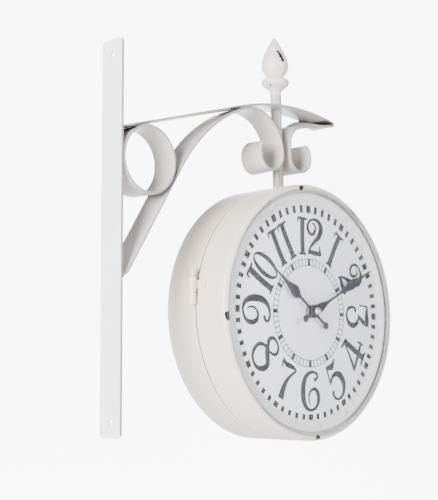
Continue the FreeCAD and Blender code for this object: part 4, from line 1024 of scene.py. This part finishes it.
# ------------------------------------------------------------------ hands
def hand_surface(stations, halves, level, angle, side, thick=0.8):
    """Stamped hand: at each station along it the width is twice the half width given there.

    The section is a flat top with its two edges eased over a quarter of a millimetre.
    """
    w = np.clip(halves, 0.02, None)[:, None]
    ease = np.minimum(0.25, w * 0.4)
    across = np.concatenate([-w, -w, -w + ease, w - ease, w, w], 1)
    height = np.concatenate([0 * w, thick - ease, thick + 0 * w, thick + 0 * w, thick - ease, 0 * w], 1) + level
    points = capped(np.stack([across, stations[:, None] + 0 * across, height], -1))
    return closed_grid(on_side(around(points, angle, 0), side), wrap_v=True)


def round_at(stations, middle, radius):
    """Half width of a disc at each station."""
    return np.sqrt(np.clip(radius ** 2 - (stations - middle) ** 2, 0, None))


# hand, middle of the tail's ball, stations up to 8 mm and beyond, height, angle, places along it, half widths
HANDS = (
    ("hour", -25, 110, 90, 39.8, 305.25, [-25, 24, 26, 28.5, 31.5, 34.5, 38, 42, 47, 52, 56, 78],
     [1.6, 1.6, 1.9, 4.3, 6.2, 6.8, 6.1, 4.6, 3.0, 2.0, 1.4, 0.6]),
    ("minute", -18, 100, 130, 43.1, 63.0,
     [-18, 0, 3, 8, 13, 17, 22, 28, 48, 50.5, 53, 54.5, 57, 61, 65, 69, 73, 78, 84, 90, 106, 107.6],
     [1.2, 1.2, 6.0, 5.2, 4.4, 3.2, 2.0, 1.3, 1.3, 1.9, 4.8, 4.4, 3.2, 3.8, 5.1, 5.6, 5.2, 3.9, 2.4, 1.5, 0.8,
      0.5]),
)


class CLOCK_OT_hands(bpy.types.Operator):
    """Spade hands with ball tails, and the domed nut that holds them"""
    bl_idname = "clock.hands"
    bl_label = "Hands"

    def execute(self, context):
        hub, ball, nut_base = 7, 4, 45.95
        for side in HOUSING:
            for hand, tail, near, far, level, angle, places, widths in HANDS:
                t = np.r_[np.linspace(tail - ball, 8, near), np.linspace(8, places[-1], far)]
                t = np.unique(np.round(t, 3))
                half = np.interp(t, places, widths)
                half[t < tail] = 0
                half = np.maximum.reduce([half, round_at(t, 0, hub), round_at(t, tail, ball)])
                name = side + "_" + hand
                add_piece(name + "_hand_stamped", [hand_surface(t, half, level, angle, side)], "hands", name,
                          [name + "_hand"], crease=30)
            dome = arc_points((0, 0), 3.8, 0, 90, 12)
            dome[:, 1] = nut_base + dome[:, 1] * 4.0 / 3.8
            dome[-1, 0] = 0
            cap = np.vstack([[[0, 43.95], [3.5, 43.95], [3.8, 44.2]], dome])
            add_piece(side + "_hand_nut_domed", [turned(cap, side, 48, wrap_v=False)], "nickel",
                      side + "_minute", [side + "_hand_cap"])
        return {"FINISHED"}


class CLOCK_OT_inner_pieces(bpy.types.Operator):
    """Finishes of the pieces that keep the frame's own shape"""
    bl_idname = "clock.inner_pieces"
    bl_label = "Inner pieces"

    def execute(self, context):
        plain = {"zinc": ["rod_nut"], "primer": ["lap_band"]}
        sided = {"silicone": ["gasket", "washer"], "zinc": ["hoop", "battery_contacts"],
                 "brass": ["bushing", "shaft_plate", "shaft_nut", "hour_tube", "minute_shaft"],
                 "abs": ["movement", "set_knob"], "cell": ["battery"]}
        for key, names in sided.items():
            plain.setdefault(key, []).extend(side + "_" + name for side in HOUSING for name in names)
        for key, names in plain.items():
            for name in names:
                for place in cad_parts[name].material_slots:
                    place.material = FINISH[key]
        return {"FINISHED"}


# ------------------------------------------------------------------ stage
VIEW_TURN, VIEW_TIP, VIEW_ROLL = 0.7866, 0.1140, -0.0037  # radians, solved from the photograph
VIEW_FROM = (-0.68304, -0.82531, -0.13691)
FOCAL_PIXELS, PICTURE_HEIGHT = 1139.09, 500


class CLOCK_OT_stage(bpy.types.Operator):
    """Pale floor and lit screen, soft lights and the camera"""
    bl_idname = "clock.stage"
    bl_label = "Stage"

    def execute(self, context):
        scene = context.scene
        paper = plain_material("pale_studio_paper", (900, "#F4F4F4", "#FAFAFA"), 0.9)
        # cloth screen lit from behind: even and brighter than the paint, so that it reads as white
        material, _, place, tone = start_material("backlit_screen_cloth", 900, "#FAFAFA", "#FFFFFF")
        glow = finish_material(material, place, tone, 0.9, (),
                               {"Emission Color": tone, "Emission Strength": 7.0})
        # flat floor under the clock, and a lit screen square to the view behind it
        across = np.array([math.cos(VIEW_TURN), -math.sin(VIEW_TURN), 0.0])
        ahead = np.array([math.sin(VIEW_TURN), math.cos(VIEW_TURN), 0.0])
        floor = [[-5, -5, -0.8], [5, -5, -0.8], [5, 5, -0.8], [-5, 5, -0.8]]
        screen = [ahead * 3.0 + across * side + np.array([0, 0, height])
                  for side, height in ((-1.1, -0.75), (1.1, -0.75), (1.1, 1.6), (-1.1, 1.6))]
        for name, corners, sheet in (("studio_floor", floor, paper), ("studio_screen", screen, glow)):
            mesh = bpy.data.meshes.new(name)
            mesh.from_pydata([tuple(map(float, corner)) for corner in corners], [], [(0, 1, 2, 3)])
            mesh.materials.append(sheet)
            flat = bpy.data.objects.new(name, mesh)
            scene.collection.objects.link(flat)
        target = np.array([0.2, 0.0, 0.0])
        lamps = (("key_softbox", (-2.3, -0.6, 0.3), 1.1, 248), ("front_softbox", (0.9, -2.3, 0.5), 1.2, 56),
                 ("top_softbox", (0.2, -0.4, 2.2), 1.2, 12))
        for name, spot, size, power in lamps:
            light = bpy.data.lights.new(name, "AREA")
            light.size = size
            light.energy = power
            lamp = bpy.data.objects.new(name, light)
            lamp.location = spot
            aim = target - np.array(spot)
            lamp.rotation_euler = (math.atan2(math.hypot(aim[0], aim[1]), -aim[2]), 0,
                                   math.atan2(-aim[0], aim[1]))
            scene.collection.objects.link(lamp)
        world = bpy.data.worlds.new("soft_room")
        world.use_nodes = True
        back = world.node_tree.nodes["Background"]
        back.inputs["Color"].default_value = (1.0, 1.0, 1.0, 1.0)
        back.inputs["Strength"].default_value = 0.36
        scene.world = world
        # the camera that the photograph was taken with: 82 mm lens on a 36 mm frame height
        lens = bpy.data.cameras.new("photo_camera")
        lens.lens = FOCAL_PIXELS * 36 / PICTURE_HEIGHT
        lens.clip_start, lens.clip_end = 0.05, 30
        eye = bpy.data.objects.new("photo_camera", lens)
        forward = ahead * math.cos(VIEW_TIP) + np.array([0, 0, math.sin(VIEW_TIP)])
        level_up = np.cross(across, forward)
        right = math.cos(VIEW_ROLL) * across + math.sin(VIEW_ROLL) * level_up
        up = math.cos(VIEW_ROLL) * level_up - math.sin(VIEW_ROLL) * across
        matrix = np.eye(4)
        matrix[:3] = np.c_[right, up, -forward, VIEW_FROM]
        eye.matrix_world = Matrix(matrix.tolist())
        scene.collection.objects.link(eye)
        scene.camera = eye
        return {"FINISHED"}


# ------------------------------------------------------------------ panel and run
OPERATORS = (CLOCK_OT_wall_bar, CLOCK_OT_top_arm, CLOCK_OT_brace, CLOCK_OT_corner_ring, CLOCK_OT_rod,
             CLOCK_OT_finial, CLOCK_OT_shells, CLOCK_OT_hinge, CLOCK_OT_covers, CLOCK_OT_dials,
             CLOCK_OT_hands, CLOCK_OT_inner_pieces, CLOCK_OT_stage)


class CLOCK_PT_pieces(bpy.types.Panel):
    """Lists the sizes, colours and pieces"""
    bl_idname = "CLOCK_PT_pieces"
    bl_label = "Station clock"
    bl_space_type = "VIEW_3D"
    bl_region_type = "UI"
    bl_category = "Clock"

    def draw(self, context):
        for group in (context.scene.clock_sizes, context.scene.clock_colours):
            for key in type(group).__annotations__:
                self.layout.prop(group, key)
        for operator in OPERATORS:
            self.layout.operator(operator.bl_idname)


CLASSES = (ClockSizes, ClockColours) + OPERATORS + (CLOCK_PT_pieces,)


def register():
    for item in CLASSES:
        bpy.utils.register_class(item)
    bpy.types.Scene.clock_sizes = bpy.props.PointerProperty(type=ClockSizes)
    bpy.types.Scene.clock_colours = bpy.props.PointerProperty(type=ClockColours)


def unregister():
    del bpy.types.Scene.clock_colours
    del bpy.types.Scene.clock_sizes
    for item in reversed(CLASSES):
        bpy.utils.unregister_class(item)


def main():
    register()
    make_materials()
    for operator in OPERATORS:
        getattr(bpy.ops.clock, operator.bl_idname.split(".")[1])()


if __name__ == "__main__":
    main()
